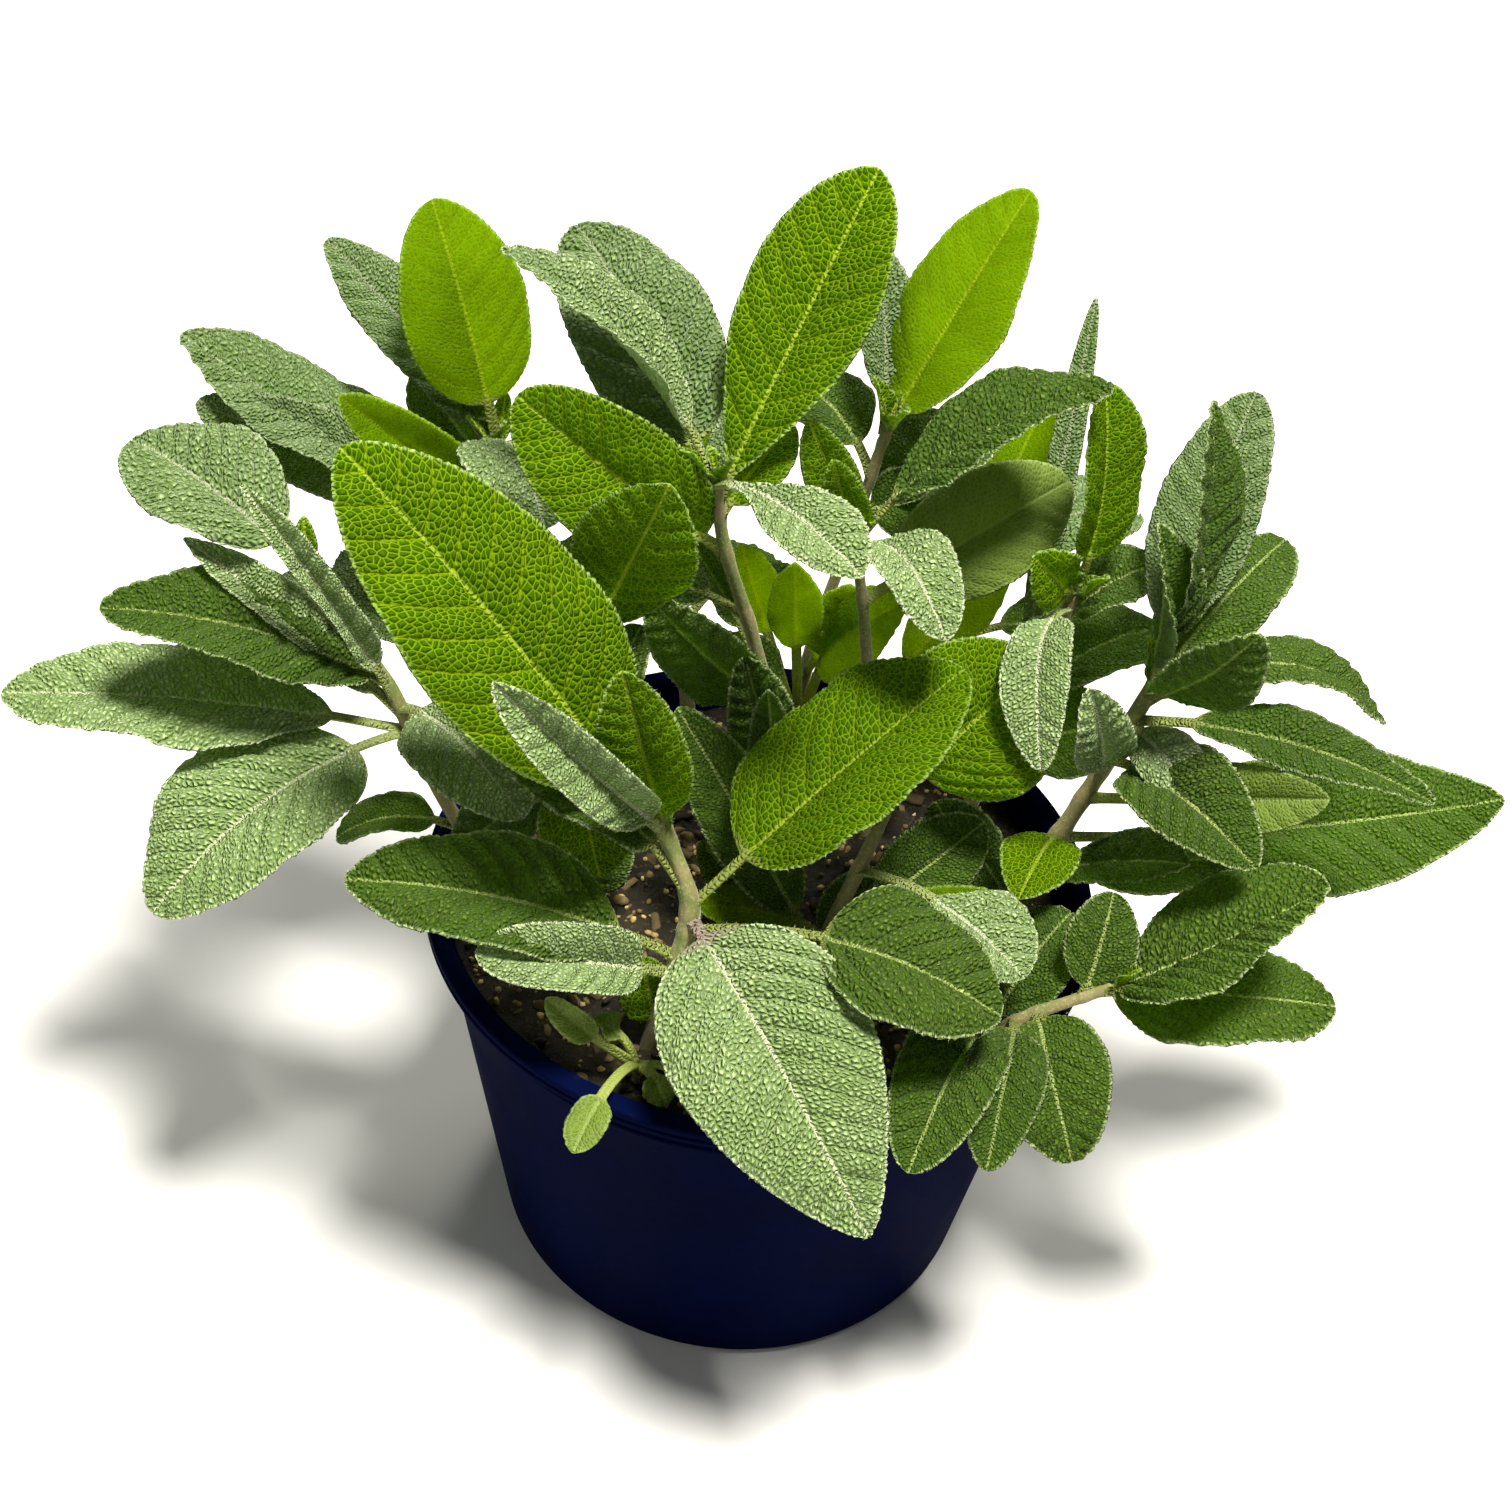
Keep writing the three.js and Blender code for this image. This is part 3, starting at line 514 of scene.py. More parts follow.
def leaf_form(base, leaf, phase):
    """A leaf's smooth form: arched, folded and rolled, with a waved and ruffled margin."""
    tip = np.array([leaf.x, leaf.y, leaf.z], float)
    chord = tip - base
    length = np.linalg.norm(chord)
    level = unit(np.cross(chord, UP))
    face = turned_about(unit(np.cross(level, chord)), chord / length, leaf.roll)
    middle = (base + tip) / 2 + 2 * leaf.arch * face
    t, u = (shares[:, None] for shares in leaf_rows(leaf, length))
    line = (1 - t) ** 2 * base + 2 * t * (1 - t) * middle + t**2 * tip
    along = unit((1 - t) * (middle - base) + t * (tip - middle))
    side = unit(np.cross(along, face))
    out = unit(np.cross(side, along))
    run = walked(line)[:, None]
    half = half_width(leaf, u, run)
    opened = np.minimum(1, 2 * half / leaf.wide)
    columns = 2 * max(3, round(leaf.wide / 2 / (leaf.step * COARSER)))
    v = np.linspace(-1, 1, columns + 1)
    v = v * (1.12 - 0.12 * v**2)
    far = np.abs(v)
    # The fold is soft along the midrib.
    lean = np.radians(leaf.fold) * opened
    crease = (np.sqrt(far**2 + 0.004) - 0.0632) / 0.939
    bulge = half * (0.36 * far * (1 - far) - 0.06 * far**4) * opened
    ruffle = 0.9 * np.sin(run / 5.5 + 2 * phase) * v**2
    ruffle = (ruffle + 0.4 * np.sin(run / 2.4 + phase) * v**5) * opened * min(1, leaf.wide / FULL_WIDTH)
    # The wave follows the CAD's steps, so that both margins agree.
    cad_steps = max(4, round(length / LEAF_STEP) + 1)
    station = cad_steps * np.arccos(1 - 2 * u) / np.pi
    wave = MARGIN_WAVE * opened * np.sin(2.6 * station + phase) * np.sign(v) * far**1.3
    across = half * v * np.cos(lean)
    rise = half * crease * np.sin(lean) + bulge + ruffle + wave
    places = line[:, None] + side[:, None] * across[..., None] + out[:, None] * rise[..., None]
    return Form(places, out, u, v, half * v, half, run - leaf.petiole * run[-1], length)


def leaf_net(form, leaf, order):
    """The coordinates that the net is drawn in, the side veins passed, and their spacing."""
    w, s = form.w, form.s
    slant = s - 0.75 * np.abs(w) - 0.012 * w**2
    lean = s - 0.35 * np.abs(w)
    size = np.clip(leaf.wide / FULL_WIDTH, 0.85, 1.05) * (1.12 if leaf.kind == "bright" else 1.0)
    sway = 0.35 * np.sin(w / 2.9 + s / 4.3 + order)
    swing = 0.35 * np.sin(s / 3.4 - w / 5.1 + 2 * order)
    a = lean / (0.98 * size) + sway + NET_SHIFT[0] * order
    b = w / (1.08 * size) + swing + NET_SHIFT[1] * order
    pitch = np.clip(form.length / 11, *VEIN_PITCH)
    passed = (slant + 0.5 * sway) / pitch + 100.5
    return a, b, passed, pitch


def margin_teeth(form, places):
    """Pushes the edge out and in as small round teeth. Returns the length walked along it."""
    middle = places.shape[1] // 2
    arcs = np.zeros(places.shape[:2])
    fade = smooth(form.u[:, 0], 0.01, 0.06) * min(1, form.half.max() / 10)
    for column, inner, hand, half in ((0, 1, -1, slice(0, middle)), (-1, -2, 1, slice(middle, None))):
        line = places[:, column]
        arc = walked(line)
        outward = unit(np.cross(np.gradient(line, axis=0), form.out)) * hand
        tooth = TOOTH_DEPTH * (np.abs(np.sin(np.pi * arc / TOOTH)) - 0.45) * fade
        places[:, column] += outward * tooth[:, None]
        places[:, inner] += outward * tooth[:, None] * 0.5
        arcs[:, half] = arc[:, None]
    return arcs


def add_hairs(skin, roots, ways, rng):
    """Adds fine hairs as closed three-sided spikes, one from each root along its way."""
    count = len(roots)
    way = unit(unit(ways) + rng.normal(0, 0.3, (count, 3)))
    side = unit(np.cross(way, rng.normal(size=(count, 3))))
    other = np.cross(way, side)
    angle = angles(3)[None, :, None]
    foot = (roots - way * 0.1)[:, None]
    ring = foot + HAIR_THICK * (side[:, None] * np.cos(angle) + other[:, None] * np.sin(angle))
    tip = roots + way * rng.uniform(*HAIR_LENGTH, (count, 1))
    points = np.concatenate([ring, tip[:, None]], axis=1).reshape(-1, 3)
    spike = np.array([[0, 1, 3], [1, 2, 3], [2, 0, 3], [0, 2, 1]])
    faces = (4 * np.arange(count)[:, None, None] + spike).reshape(-1, 3)
    skin.add(points, NO_QUADS, faces, HAIR_SLOT)


def leaf_hairs(skin, form, places, top, under, rng):
    """Hairs along the margin of a leaf and round its petiole."""
    blade = np.flatnonzero(form.u[:, 0] > 0.03)
    roots, ways = [], []
    for column, inner in ((0, 1), (-1, -2)):
        rows = blade[rng.uniform(size=len(blade)) < HAIR_SHARES["margin"]]
        roots.append(places[rows, column])
        ways.append(places[rows, column] - places[rows, inner])
    stalk = np.flatnonzero(form.u[:, 0] == 0)
    count = places.shape[1]
    for face in (top, under):
        rows, columns = np.nonzero(rng.uniform(size=(len(stalk), count)) < HAIR_SHARES["petiole"])
        rows = stalk[rows]
        middle = (top[rows, count // 2] + under[rows, count // 2]) / 2
        roots.append(face[rows, columns])
        ways.append(face[rows, columns] - middle)
    add_hairs(skin, np.concatenate(roots), np.concatenate(ways), rng)


def rib_width(u):
    """The midrib narrows along the blade."""
    return 1.0 - 0.5 * u


def leaf_relief(form, leaf, net, edge):
    """How far out of the smooth form the upper and the lower face of a leaf lie."""
    u, v, w = form.u, form.v, form.w
    a, b, passed, pitch = net
    grown = smooth(u, 0.0, 0.07)
    from_side = (0.5 - np.abs(passed % 1 - 0.5)) * pitch * 0.8
    side_vein = np.exp(-((from_side / 0.5) ** 2)) * smooth(np.abs(w), 0.4, 1.5)
    rib = np.exp(-((w / rib_width(u)) ** 2))
    off_rib = smooth(np.abs(w), 0.5, 2.5)
    pebble = smooth(edge, 0.0, DOME) * (1 - 0.7 * side_vein) - 0.6
    quilt = (np.abs(np.sin(np.pi * passed)) - 0.5) * off_rib
    pucker = value_noise(a, b, 2.6, 4) * off_rib
    # Cells, swellings between the side veins and puckers, flatter towards the margin.
    strength = LEAF_LOOKS[leaf.kind]["quilting"] * min(1, 0.25 + leaf.wide / 32)
    relief = strength * pebble + strength * (1.25 * quilt + 0.65 * pucker)
    relief = relief * (1 - 0.65 * smooth(np.abs(v), 0.75, 1))
    relief = grown * (relief - 0.3 * side_vein - 0.45 * rib)
    # The stalk is round, and the ribs stand out below the blade.
    stalk = np.sqrt(1 - v**2) * (1 - grown)
    depth = stalk + BLADE_THICK * np.sqrt(1 - v**8) * grown
    depth = depth + grown * (0.85 * rib * (1 - u) ** 0.7 + 0.16 * side_vein)
    return relief + 0.35 * stalk, 0.85 * relief - depth


def blade_faces(rows, columns):
    """The faces of a closed blade whose rings go out over its top and back along its underside."""
    around = 2 * (columns - 1)
    last = (rows - 1) * around
    j = np.arange(columns - 1)
    mate = (around - j) % around
    caps = [(j, mate, j + 1), (j + 1, mate, around - j - 1)]
    caps += [(last + j, last + j + 1, last + mate), (last + j + 1, last + around - j - 1, last + mate)]
    triangles = np.concatenate([np.stack(cap, -1) for cap in caps])
    proper = np.all(triangles != np.roll(triangles, 1, axis=1), axis=1)
    return ring_quads(rows, around), triangles[proper]


def ringed(over, below):
    """The values of a blade's two faces in the order of its rings."""
    return np.concatenate([over, below[:, -2:0:-1]], axis=1).reshape(-1, over.shape[-1])


def add_leaf(skin, form, leaf, order, net, edge, rng):
    """Adds one leaf: both faces of its quilted blade, its ribs and its petiole, as a closed skin."""
    u, v, w = form.u, form.v, form.w
    over, below = leaf_relief(form, leaf, net, edge)
    places = form.places.copy()
    arcs = margin_teeth(form, places)
    out = form.out[:, None]
    top = places + out * over[..., None]
    under = places + out * below[..., None]
    rows, columns = places.shape[:2]
    quads, triangles = blade_faces(rows, columns)
    slot = 1 + 2 * KINDS.index(leaf.kind)
    face_slots = np.where(np.arange(2 * (columns - 1)) < columns - 1, slot, slot + 1)
    margin = form.half * (1 - np.abs(v))
    tone_and_shade = rng.uniform(0, 1)
    # Velvet leaves at the back are painted darker, which is painted shade, on top of their random tone.
    if leaf.kind == "velvet":
        tone_and_shade = 0.4 * tone_and_shade + 1.9 * smooth(leaf.y, 0, 45)
    stalk = 1 - smooth(u + 0 * v, 0.0, 0.05)
    purple = 1.0 if order == 0 else 0.0
    values = {
        "net": np.stack(net[:3], -1),
        "edge": np.stack([w / (0.62 * rib_width(u)), margin, arcs / TOOTH], -1),
        "tint": np.stack(np.broadcast_arrays(tone_and_shade, stalk, purple), -1),
    }
    values = {key: ringed(part, part) for key, part in values.items()}
    skin.add(ringed(top, under), quads, triangles, slot, np.tile(face_slots, rows - 1), **values)
    if leaf.kind != "plain":
        leaf_hairs(skin, form, places, top, under, np.random.default_rng(SEEDS["hairs"] + order))


def low_leaves(node):
    """The rows of the small leaves low on a stem."""
    return [(*row[:5], 3, row[5], 12, row[6], 0.8, 0.22) for row in LOW_LEAVES.get(node, ())]


def tip_leaves(path, rng):
    """The rows of the small young leaves round the growing tip of a stem."""
    tip = np.array(path[-1], float)
    along = unit(tip - np.array(path[-2], float))
    start = unit(np.cross(along, (0.3, 1, 0.2)))
    turn = rng.uniform(0, 360)
    rows = []
    for i, length in enumerate(TIP_LEAVES):
        out = turned_about(start, along, turn + 137 * i)
        x, y, z = tip + length * (0.8 * along + 0.5 * out)
        rows.append((TIP_SHARE, x, y, z, 0.45 * length, 0.6, 0, 24, "bright", 0.75, 0.1, 0.2))
    return rows


# Stems.


def add_stem(skin, path, radius, heights):
    """Adds a four-angled stem with a swollen joint where leaves leave it."""
    around = AROUND["stem"]
    foot = np.array(path[0], float) - UP * ROOT_DEPTH
    shares = np.linspace(0, 1, 60)
    line = np.array([foot] + [curve_point(path, share) for share in shares])
    along = unit(np.gradient(line, axis=0))
    across = unit(np.array([1.0, 0, 0]) - along * along[:, :1])
    front = np.cross(along, across)
    size = radius * (1 - (1 - STEM_TAPER) * np.concatenate([[1.0], shares]))
    joints = sum(np.exp(-(((np.concatenate([[-1], shares]) - h) / 0.03) ** 2)) for h in heights)
    size = size * (0.92 + 0.16 * np.minimum(joints, 1.2))
    angle = angles(around)
    spread = size[:, None] * (1 + 0.07 * np.cos(4 * angle))
    rings = (
        line[:, None]
        + across[:, None] * (spread * np.cos(angle))[..., None]
        + front[:, None] * (spread * np.sin(angle))[..., None]
    )
    skin.add_rings(rings, line[0], line[-1] + along[-1] * size[-1] * 0.6)
    rows = len(line)
    rng = np.random.default_rng(round(100 * radius) + rows)
    row, turn = rng.integers(6, rows, STEM_HAIRS), rng.integers(0, around, STEM_HAIRS)
    share = rng.uniform(0, 1, (STEM_HAIRS, 1))
    start, end = rings[row - 1, turn], rings[row, (turn + 1) % around]
    roots = start + (end - start) * share
    add_hairs(skin, roots, roots - line[row], rng)


# The pot.


def wall_radius(z):
    """The outer radius of the pot's wall at a height."""
    under = POT["rim"] - POT["proud"]
    return POT["base"] + (under - POT["base"]) * z / (POT["height"] - POT["lip"])


def turned(name, outline, sides, materials):
    """A closed skin turned from an outline of radius and height pairs that starts and ends on the axis."""
    outline = np.array(outline, float)
    angle = angles(sides)
    radius, height = outline[1:-1, :1], outline[1:-1, 1:]
    rings = np.stack([radius * np.cos(angle), radius * np.sin(angle), height + 0 * angle], -1)
    skin = Skin()
    skin.add_rings(rings, [0, 0, outline[0, 1]], [0, 0, outline[-1, 1]])
    return skin.build(name, materials)


def rounded(corners):
    """Rounds the corners of an outline that give a radius as their third number."""
    line = []
    for i, corner in enumerate(corners):
        if len(corner) == 2:
            line.append(corner)
            continue
        here = np.array(corner[:2], float)
        before = np.array(corners[i - 1][:2], float) - here
        after = np.array(corners[i + 1][:2], float) - here
        start = here + unit(before) * corner[2]
        end = here + unit(after) * corner[2]
        for w in np.linspace(0, 1, 4):
            line.append(tuple((1 - w) ** 2 * start + 2 * w * (1 - w) * here + w**2 * end))
    return line


def pot_outline():
    """The pot's section: the foot, the wall, a bead, the lip with its groove, and the inside."""
    rim, height, wall, floor = POT["rim"], POT["height"], POT["wall"], POT["floor"]
    lip = height - POT["lip"]
    foot = [(0, 0), (POT["base"] - 1.6, 0, 0.8), (wall_radius(1.8), 1.8, 0.8)]
    side = [(wall_radius(z), z) for z in (20, 45, 70)]
    bead = [
        (wall_radius(83.2), 83.2, 0.3),
        (wall_radius(83.6) + 0.5, 83.7, 0.25),
        (wall_radius(84.8) + 0.5, 84.9, 0.25),
        (wall_radius(85.3), 85.4, 0.25),
    ]
    edge = [(wall_radius(lip), lip, 0.5), (rim, lip + 1, 0.5)]
    groove = [
        (rim, height - 2.5, 0.2),
        (rim - 0.35, height - 2.2, 0.15),
        (rim - 0.35, height - 1.9, 0.15),
        (rim, height - 1.6, 0.2),
    ]
    inside = [
        (rim, height, 0.6),
        (wall_radius(height) - wall + 0.4, height, 0.5),
        (wall_radius(height) - wall - 0.1, height - 1.2, 0.4),
        (wall_radius(60) - wall, 60),
        (wall_radius(floor) - wall, floor, 0.8),
        (0, floor),
    ]
    return rounded(foot + side + bead + edge + groove + inside)


def make_pot(material):
    """The thin-walled pot with the holes in its floor."""
    pot = turned("pot_shell", pot_outline(), AROUND["pot"], [material])
    for i in range(DRAIN["count"]):
        angle = (i + 0.5) / DRAIN["count"] * 2 * np.pi
        x, y = DRAIN["ring"] * np.cos(angle), DRAIN["ring"] * np.sin(angle)
        size = {"radius": DRAIN["radius"] * MM, "depth": 8 * MM}
        bpy.ops.mesh.primitive_cylinder_add(vertices=32, location=(x * MM, y * MM, 0), **size)
        cutter = bpy.context.object
        cut = pot.modifiers.new("drain", "BOOLEAN")
        cut.operation = "DIFFERENCE"
        cut.object = cutter
        bpy.context.view_layer.objects.active = pot
        bpy.ops.object.modifier_apply(modifier=cut.name)
        bpy.data.objects.remove(cutter)
    return pot


# The compost.


def soil_height(x, y):
    """The top of the compost: the CAD's crown and lumps, with crumbs on them."""
    far = np.hypot(x, y) / POT["rim"]
    lumps = np.sin(x / 5.1 + 1) * np.cos(y / 4.3) + np.sin((x + y) / 7.7 + 2)
    crumbs = 0.9 * value_noise(x, y, 5.2, 1) + 0.7 * value_noise(x, y, 2.6, 2)
    crumbs = crumbs + 0.45 * value_noise(x, y, 1.5, 3)
    return SOIL["top"] + SOIL["crown"] * (1 - far**2) + SOIL["lump"] * lumps * 0.5 + crumbs


def make_soil(material):
    """The body of the compost, with a crumbly top that reaches the wall."""
    edge = wall_radius(SOIL["top"]) - POT["wall"] - 0.1
    around, rows = AROUND["soil"], 56
    floor = POT["floor"] + SOIL["gap"]
    angle = angles(around)
    radii = edge * np.linspace(1, 1 / rows, rows)
    x, y = radii[:, None] * np.cos(angle), radii[:, None] * np.sin(angle)
    top = np.stack([x, y, soil_height(x, y)], -1)
    levels = [(wall_radius(z) - POT["wall"] - 0.2, z) for z in (floor, 30, 60, 80)]
    side = np.array([[(r * np.cos(a), r * np.sin(a), z) for a in angle] for r, z in levels])
    skin = Skin()
    skin.add_rings(np.concatenate([side, top]), [0, 0, floor], [0, 0, soil_height(0.0, 0.0)])
    return skin.build("compost", [material])


def ball_template(levels):
    """The points and triangles of a ball made from an icosahedron."""
    bpy.ops.mesh.primitive_ico_sphere_add(subdivisions=levels, radius=1)
    made = bpy.context.object
    points = np.array([v.co for v in made.data.vertices])
    triangles = np.array([list(p.vertices) for p in made.data.polygons])
    bpy.data.objects.remove(made)
    return points, triangles


def make_grit(materials):
    """Loose bark and grit, half sunk in the compost."""
    rng = np.random.default_rng(SEEDS["bits"])
    # Of each: how many, their plain form, and how large, how wide and how thin they are.
    kinds = (
        (380, ball_template(2), (0.8, 2.5), (0.35, 0.7), (0.25, 0.5)),
        (800, ball_template(1), (0.35, 1.0), (0.6, 1), (0.5, 0.9)),
    )
    skin = Skin()
    reach = wall_radius(SOIL["top"]) - POT["wall"] - 2.5
    for slot, (count, (shape, faces), sizes, middles, thins) in enumerate(kinds):
        for _ in range(count):
            far, turn = reach * np.sqrt(rng.uniform(0, 1)), rng.uniform(0, 2 * np.pi)
            x, y = far * np.cos(turn), far * np.sin(turn)
            size = rng.uniform(*sizes)
            stretch = np.array([1, rng.uniform(*middles), rng.uniform(*thins)]) * size
            boxy = np.sign(shape) * np.abs(shape) ** rng.uniform(0.55, 0.9)
            chip = boxy * stretch * (1 + rng.uniform(-0.16, 0.16, (len(shape), 1)))
            axis = unit(rng.normal(size=3) * (0.35, 0.35, 1))
            spin = rng.uniform(0, 360)
            chip = np.array([turned_about(p, axis, spin) for p in chip])
            chip = chip + (x, y, soil_height(x, y) + stretch[2] * rng.uniform(-0.2, 0.5))
            tint = np.tile([rng.uniform(0, 1), 0, 0], (len(chip), 1))
            skin.add(chip, NO_QUADS, faces, slot, tint=tint)
    return skin.build("compost_bits", materials)


# Materials.


class Graph:
    """Short calls for the nodes of one material."""

    def __init__(self, name):
        self.material = bpy.data.materials.new(name)
        self.material.use_nodes = True
        self.tree = self.material.node_tree
        self.tree.nodes.clear()
        self.output = self.tree.nodes.new("ShaderNodeOutputMaterial")

    def node(self, kind, inputs=(), **settings):
        """A new node with its settings, and with the inputs that aren't None."""
        made = self.tree.nodes.new(kind)
        for key, value in settings.items():
            setattr(made, key, value)
        for key, value in dict(inputs).items():
            if value is not None:
                self.put(made.inputs[key], value)
        return made

    def put(self, socket, value):
        """Links a socket to another's output, or sets its own value."""
        if isinstance(value, bpy.types.NodeSocket):
            self.tree.links.new(value, socket)
        elif isinstance(value, tuple) and len(value) == 3 and socket.type == "RGBA":
            socket.default_value = (*value, 1.0)
        else:
            socket.default_value = value

    def math(self, operation, a, b=0.0):
        """One sum of two values."""
        return self.node("ShaderNodeMath", {0: a, 1: b}, operation=operation).outputs[0]

    def times(self, a, b):
        """Two values multiplied."""
        return self.math("MULTIPLY", a, b)

    def band(self, value, low, high, start=0.0, end=1.0):
        """A smooth step from start at low to end at high."""
        inputs = {"Value": value, "From Min": low, "From Max": high, "To Min": start, "To Max": end}
        return self.node("ShaderNodeMapRange", inputs, interpolation_type="SMOOTHSTEP").outputs[0]

    def mix(self, factor, a, b):
        """One colour over another."""
        return self.node("ShaderNodeMix", {"Factor": factor, 6: a, 7: b}, data_type="RGBA").outputs[2]

    def parts(self, vector):
        """The three parts of a vector."""
        return self.node("ShaderNodeSeparateXYZ", {0: vector}).outputs

    def attribute(self, name):
        """A piece's own values, as a vector and as its three parts."""
        vector = self.node("ShaderNodeAttribute", attribute_name=name).outputs["Vector"]
        return vector, *self.parts(vector)

    def place(self):
        """The place on the piece, in metres."""
        return self.node("ShaderNodeTexCoord").outputs["Object"]

    def cells(self, net, feature):
        """The cells of a leaf's net."""
        made = self.node("ShaderNodeTexVoronoi", {"Vector": net})
        set_cells(made, feature)
        return made

    def noise(self, scale, detail=3.0, roughness=0.55):
        """Cloudy noise over the piece."""
        inputs = {"Vector": self.place(), "Scale": scale, "Detail": detail, "Roughness": roughness}
        return self.node("ShaderNodeTexNoise", inputs).outputs["Fac"]

    def bump(self, height, depth, normal=None, strength=1.0):
        """A height in shares of a depth in millimetres."""
        inputs = {"Height": height, "Distance": depth * MM, "Strength": strength, "Normal": normal}
        return self.node("ShaderNodeBump", inputs).outputs[0]

    def solid(self, colour, roughness, shine=0.5, normal=None, sheen=(0.0, 0.5, (1.0, 1.0, 1.0))):
        """The opaque shader. Sheen is its weight, its roughness and its tint."""
        inputs = {"Base Color": colour, "Roughness": roughness, "Specular IOR Level": shine}
        inputs["Normal"] = normal
        for name, value in zip(("Weight", "Roughness", "Tint"), sheen):
            inputs[f"Sheen {name}"] = value
        return self.node("ShaderNodeBsdfPrincipled", inputs).outputs[0]

    def lit_through(self, share, solid, colour, normal=None):
        """A solid shader that lets a share of the light through in a colour."""
        thin = self.node("ShaderNodeBsdfTranslucent", {"Color": colour, "Normal": normal}).outputs[0]
        return self.node("ShaderNodeMixShader", {0: share, 1: solid, 2: thin}).outputs[0]

    def finish(self, shader):
        """The material, once it shows a shader."""
        self.tree.links.new(shader, self.output.inputs["Surface"])
        return self.material


def leaf_material(kind, under):
    """One face of a kind of leaf. The underside is paler, with its veins standing out."""
    looks = LEAF_LOOKS[kind]
    green, grey = looks["green"], looks["grey"]
    g = Graph(f"sage_{kind}_{'under' if under else 'upper'}")
    net, _, _, passed = g.attribute("net")
    _, rib_away, margin, teeth = g.attribute("edge")
    _, tone_and_shade, stalk, purple = g.attribute("tint")
    edge = g.cells(net, "DISTANCE_TO_EDGE").outputs["Distance"]
    random_colour = g.cells(net, "F1").outputs["Color"]
    cell = g.node("ShaderNodeSeparateColor", {0: random_colour}).outputs[0]
    fine = g.noise(900.0, 2.0)
    patch = g.noise(70.0, 2.0)
    net_line = g.band(edge, 0.02, 0.17, 1.0, 0.0)
    dome = g.band(edge, 0.0, DOME)
    side_line = g.band(g.math("PINGPONG", passed, 0.5), 0.015, 0.07, 1.0, 0.0)
    rib_line = g.band(g.math("ABSOLUTE", rib_away), 0.45, 1.0, 1.0, 0.0)
    veins = g.math("MAXIMUM", g.times(net_line, 0.8), g.times(side_line, 0.8))
    bead = g.band(g.math("PINGPONG", teeth, 0.5), 0.1, 0.4, 0.4, 1.0)
    rim = g.times(g.band(margin, 0.25, 0.85, 1.0, 0.0), bead)
    speck = g.band(fine, 0.42, 0.62)
    if under:
        downy = g.math("ADD", g.times(speck, 0.3), 0.45)
        skin = g.mix(downy, green, grey)
        skin = g.mix(g.times(veins, 0.25), skin, RIB_PALE)
    else:
        hairs = looks["hairs"]
        # The hollows between the swellings are painted darker than the swellings: painted shade. The
        # swellings' paler grey is partly their hair and partly painted highlight.
        downy = g.band(dome, 0.05, 0.8, looks["hollow_shade"] * hairs, hairs)
        downy = g.times(downy, g.band(speck, 0.0, 1.0, 0.7, 1.0))
        downy = g.times(downy, g.band(patch, 0.3, 0.7, 0.75, 1.08))
        skin = g.mix(downy, green, grey)
        # The net lines take the kind's vein colour: painted shade in the grooves of the velvet and deep
        # leaves, and painted light, the back light through the veins, on the bright ones.
        skin = g.mix(g.times(veins, 0.7), skin, looks["vein_light_and_shade"])
    skin = g.mix(g.times(rib_line, 0.8), skin, RIB_PALE if under else looks["rib"])
    skin = g.mix(g.times(rim, 0.85), skin, looks["margin"])
    skin = g.mix(g.times(g.times(cell, dome), 0.22), skin, green)
    # A leaf's tone darkens it toward LEAF_SHADE: at random, and as painted shade on the velvet leaves at
    # the back.
    skin = g.mix(g.band(tone_and_shade, 0.0, 2.3, 0.0, 0.62), skin, LEAF_SHADE)
    skin = g.mix(stalk, skin, g.mix(purple, STALK_GREEN, STALK_PURPLE))
    light = g.mix(g.math("MAXIMUM", veins, rib_line), looks["glow"], looks["glow_vein"])
    light = g.mix(g.band(patch, 0.35, 0.75, 0.0, 0.25), light, green)
    light = g.mix(stalk, light, STALK_GREEN)
    relief = g.math("SUBTRACT", dome, g.times(side_line, 0.6))
    depth, strength = (0.4, 0.6) if under else (1, 1)
    normal = g.bump(relief, depth * looks["relief"], strength=strength)
    normal = g.bump(fine, 0.08, normal)
    rough = g.band(fine, 0.3, 0.7, 0.5, 0.72)
    sheen = (looks["sheen"], 0.45, (0.85, 1.0, 0.65))
    solid = g.solid(skin, rough, looks["shine"], normal, sheen)
    return g.finish(g.lit_through(looks["through"], solid, light, normal))


def stem_material():
    """Downy grey-green stems, browner at the foot."""
    g = Graph("sage_stem")
    low = g.band(g.parts(g.place())[2], 0.084, 0.115, 1.0, 0.0)
    fine = g.noise(1400.0, 2.0)
    patch = g.noise(120.0, 3.0)
    skin = g.mix(g.band(patch, 0.35, 0.65), (0.11, 0.14, 0.03), (0.21, 0.175, 0.075))
    skin = g.mix(g.times(low, 0.6), skin, (0.16, 0.11, 0.06))
    skin = g.mix(g.band(fine, 0.5, 0.7, 0.0, 0.3), skin, (0.40, 0.38, 0.20))
    return g.finish(g.solid(skin, 0.7, 0.3, g.bump(fine, 0.12), (0.2, 0.4, (1.0, 0.97, 0.75))))


def hair_material():
    """Fine pale hairs that let light through."""
    g = Graph("sage_hair")
    solid = g.solid((0.62, 0.70, 0.42), 0.55, 0.3)
    return g.finish(g.lit_through(0.4, solid, (0.7, 0.85, 0.4)))


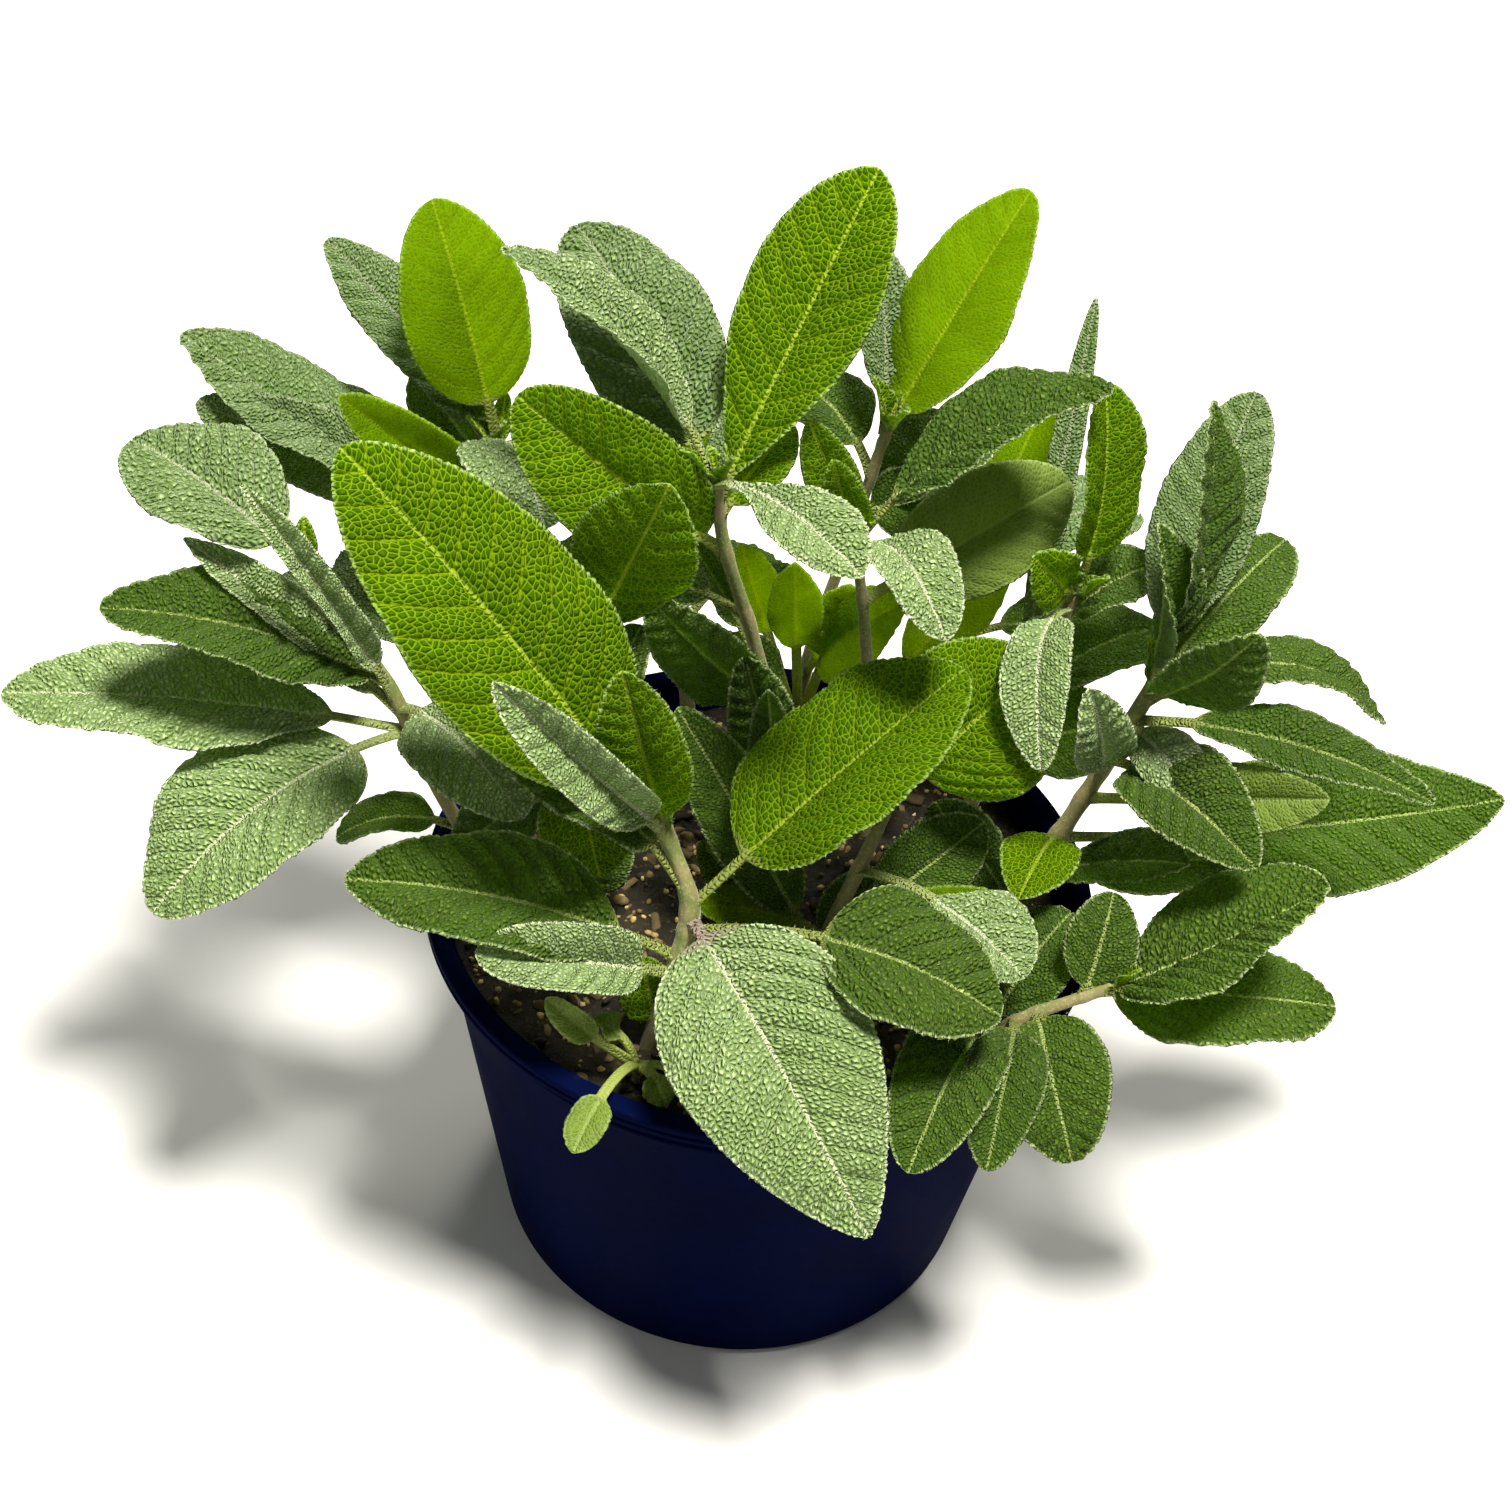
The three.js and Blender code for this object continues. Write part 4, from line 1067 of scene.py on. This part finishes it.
def pot_material():
    """Dark blue moulded plastic, scuffed and a little dusty, its blue darkened with painted shade."""
    g = Graph("navy_plastic_and_painted_shade")
    place = g.place()
    cloud = g.noise(38.0, 5.0)
    grain = g.noise(1800.0, 2.0)
    stretched = g.node("ShaderNodeVectorMath", {0: place, 1: (260.0, 260.0, 2600.0)}, operation="MULTIPLY")
    lines = g.node("ShaderNodeTexNoise", {"Vector": stretched.outputs[0], "Scale": 1.0, "Detail": 3.0})
    lines = lines.outputs["Fac"]
    scuff = g.band(lines, 0.62, 0.72)
    dust = g.times(g.band(cloud, 0.5, 0.8), g.band(g.parts(place)[2], 0.0, 0.05, 1.0, 0.35))
    # The blue is darker than the plastic's own colour: painted shade.
    skin = g.mix(g.band(cloud, 0.3, 0.7), (0.0006, 0.0016, 0.014), (0.0009, 0.0024, 0.020))
    skin = g.mix(g.times(scuff, 0.05), skin, (0.03, 0.04, 0.10))
    skin = g.mix(g.times(dust, 0.004), skin, (0.14, 0.13, 0.12))
    rough = g.math("ADD", g.band(cloud, 0.3, 0.7, 0.44, 0.56), g.times(scuff, 0.2))
    normal = g.bump(g.math("ADD", grain, g.times(lines, 0.7)), 0.02)
    return g.finish(g.solid(skin, rough, 0.003, normal))


def soil_material():
    """Moist dark compost with paler crumbs."""
    g = Graph("compost_dark")
    cloud = g.noise(160.0, 5.0)
    fine = g.noise(900.0, 4.0, 0.7)
    skin = g.mix(g.band(cloud, 0.35, 0.65), (0.004, 0.003, 0.001), (0.016, 0.012, 0.004))
    skin = g.mix(g.band(fine, 0.56, 0.68, 0.0, 0.6), skin, (0.13, 0.095, 0.03))
    return g.finish(g.solid(skin, g.band(fine, 0.3, 0.7, 0.65, 0.95), 0.3, g.bump(fine, 0.9)))


def chip_material(name, dark, light, rough):
    """Bark or grit, each piece of its own shade."""
    g = Graph(name)
    _, shade, _, _ = g.attribute("tint")
    fine = g.noise(700.0, 3.0)
    skin = g.mix(shade, dark, light)
    skin = g.mix(g.band(fine, 0.45, 0.7, 0.0, 0.5), skin, dark)
    return g.finish(g.solid(skin, rough, 0.35, g.bump(fine, 0.25)))


def floor_material():
    """A plain pale floor."""
    g = Graph("pale_floor")
    return g.finish(g.solid((0.62, 0.62, 0.61), 0.9))


# The plant.


def all_leaves():
    """The node, the row and the form of every leaf, in the order of the stems."""
    rng = np.random.default_rng(SEEDS["tips"])
    leaves = []
    for node, (path, _, rows) in STEMS.items():
        young = [] if node == "seedling" else tip_leaves(path, rng)
        for i, row in enumerate([*rows, *low_leaves(node), *young]):
            leaf = Leaf(*row)
            base = curve_point(path, min(leaf.at, TIP_SHARE))
            leaves.append((node, leaf, leaf_form(base, leaf, PHASE_STEP * i)))
    return leaves


def make_plant():
    """One piece for each stem of the CAD, in its place."""
    materials = [stem_material()]
    for kind in KINDS:
        materials += [leaf_material(kind, False), leaf_material(kind, True)]
    materials.append(hair_material())
    leaves = all_leaves()
    nets = [leaf_net(form, leaf, order) for order, (_, leaf, form) in enumerate(leaves)]
    places = [np.stack(net[:2], -1).reshape(-1, 2) for net in nets]
    edges = np.split(net_edge(np.concatenate(places)), np.cumsum([len(p) for p in places])[:-1])
    rng = np.random.default_rng(SEEDS["tones"])
    skins = {node: Skin() for node in STEMS}
    for order, ((node, leaf, form), net, edge) in enumerate(zip(leaves, nets, edges)):
        add_leaf(skins[node], form, leaf, order, net, edge.reshape(form.w.shape), rng)
    for node, (path, radius, rows) in STEMS.items():
        add_stem(skins[node], path, radius, [row[0] for row in rows])
        piece = skins[node].build(f"foliage_{node}", materials)
        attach(piece, "root")
        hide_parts(node)


def make_holder():
    """The pot and what fills it."""
    pot = make_pot(pot_material())
    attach(pot, "root")
    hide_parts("pot")
    soil = make_soil(soil_material())
    bark = chip_material("bark_chips", (0.010, 0.007, 0.003), (0.17, 0.12, 0.045), 0.85)
    grit = chip_material("grit", (0.10, 0.066, 0.02), (0.62, 0.45, 0.17), 0.75)
    bits = make_grit([bark, grit])
    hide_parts("soil")
    for piece in (soil, bits):
        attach(piece, "root")


# The floor, the lights and the camera.


def make_floor():
    """A wide floor just under the pot."""
    bpy.ops.mesh.primitive_plane_add(size=6, location=(0, 0, -0.0002))
    floor = bpy.context.object
    floor.name = "floor"
    floor.data.materials.append(floor_material())


def placed(right, up, back, place):
    """The matrix of a thing that looks along minus back."""
    rows = [[right[i], up[i], back[i], place[i]] for i in range(3)]
    return Matrix([*rows, [0, 0, 0, 1]])


def make_light(name, place, target, size, power, colour):
    """A round soft light that shines at a target."""
    lamp = bpy.data.lights.new(name, "AREA")
    lamp.shape = "DISK"
    lamp.size = size
    lamp.energy = power
    lamp.color = colour
    back = unit(np.array(place, float) - np.array(target, float))
    right = unit(np.cross(UP, back))
    add_object(name, lamp).matrix_world = placed(right, np.cross(back, right), back, place)


def make_camera():
    """The photograph's own view: from 41 degrees above, rolled 5 degrees."""
    elevation, roll = np.radians(41.3), np.radians(5.2)
    aim, distance = np.array([-3.2, 0, 127]), 436
    focal_pixels, frame_pixels = 2200, 1512
    back = np.array([0, -np.cos(elevation), np.sin(elevation)])
    upright = np.array([0, np.sin(elevation), np.cos(elevation)])
    level = np.array([1.0, 0, 0])
    right = level * np.cos(roll) + upright * np.sin(roll)
    up = upright * np.cos(roll) - level * np.sin(roll)
    lens = bpy.data.cameras.new("camera")
    lens.sensor_width = 36
    lens.lens = lens.sensor_width * focal_pixels / frame_pixels
    lens.clip_start, lens.clip_end = 0.01, 50
    camera = add_object("camera", lens)
    camera.matrix_world = placed(right, up, back, (aim + back * distance) * MM)
    bpy.context.scene.camera = camera


def make_world():
    """A weak even light from all round."""
    world = bpy.data.worlds.new("studio")
    world.use_nodes = True
    sky = world.node_tree.nodes["Background"]
    sky.inputs["Color"].default_value = (0.95, 0.97, 1.0, 1)
    sky.inputs["Strength"].default_value = 0.11
    bpy.context.scene.world = world
    bpy.context.scene.view_settings.view_transform = "Standard"


make_plant()
make_holder()
make_floor()
make_world()
make_light("key", (0.24, -0.3, 1.75), (0, 0, 0.14), 0.4, 86.0, (1.0, 0.97, 0.9))
make_light("back", (0.15, 0.8, 0.85), (0, 0, 0.16), 0.35, 6.8, (1.0, 0.97, 0.88))
make_light("fill", (-0.5, -0.9, 0.9), (0, 0, 0.12), 0.8, 2.2, (1.0, 0.99, 0.95))
make_camera()
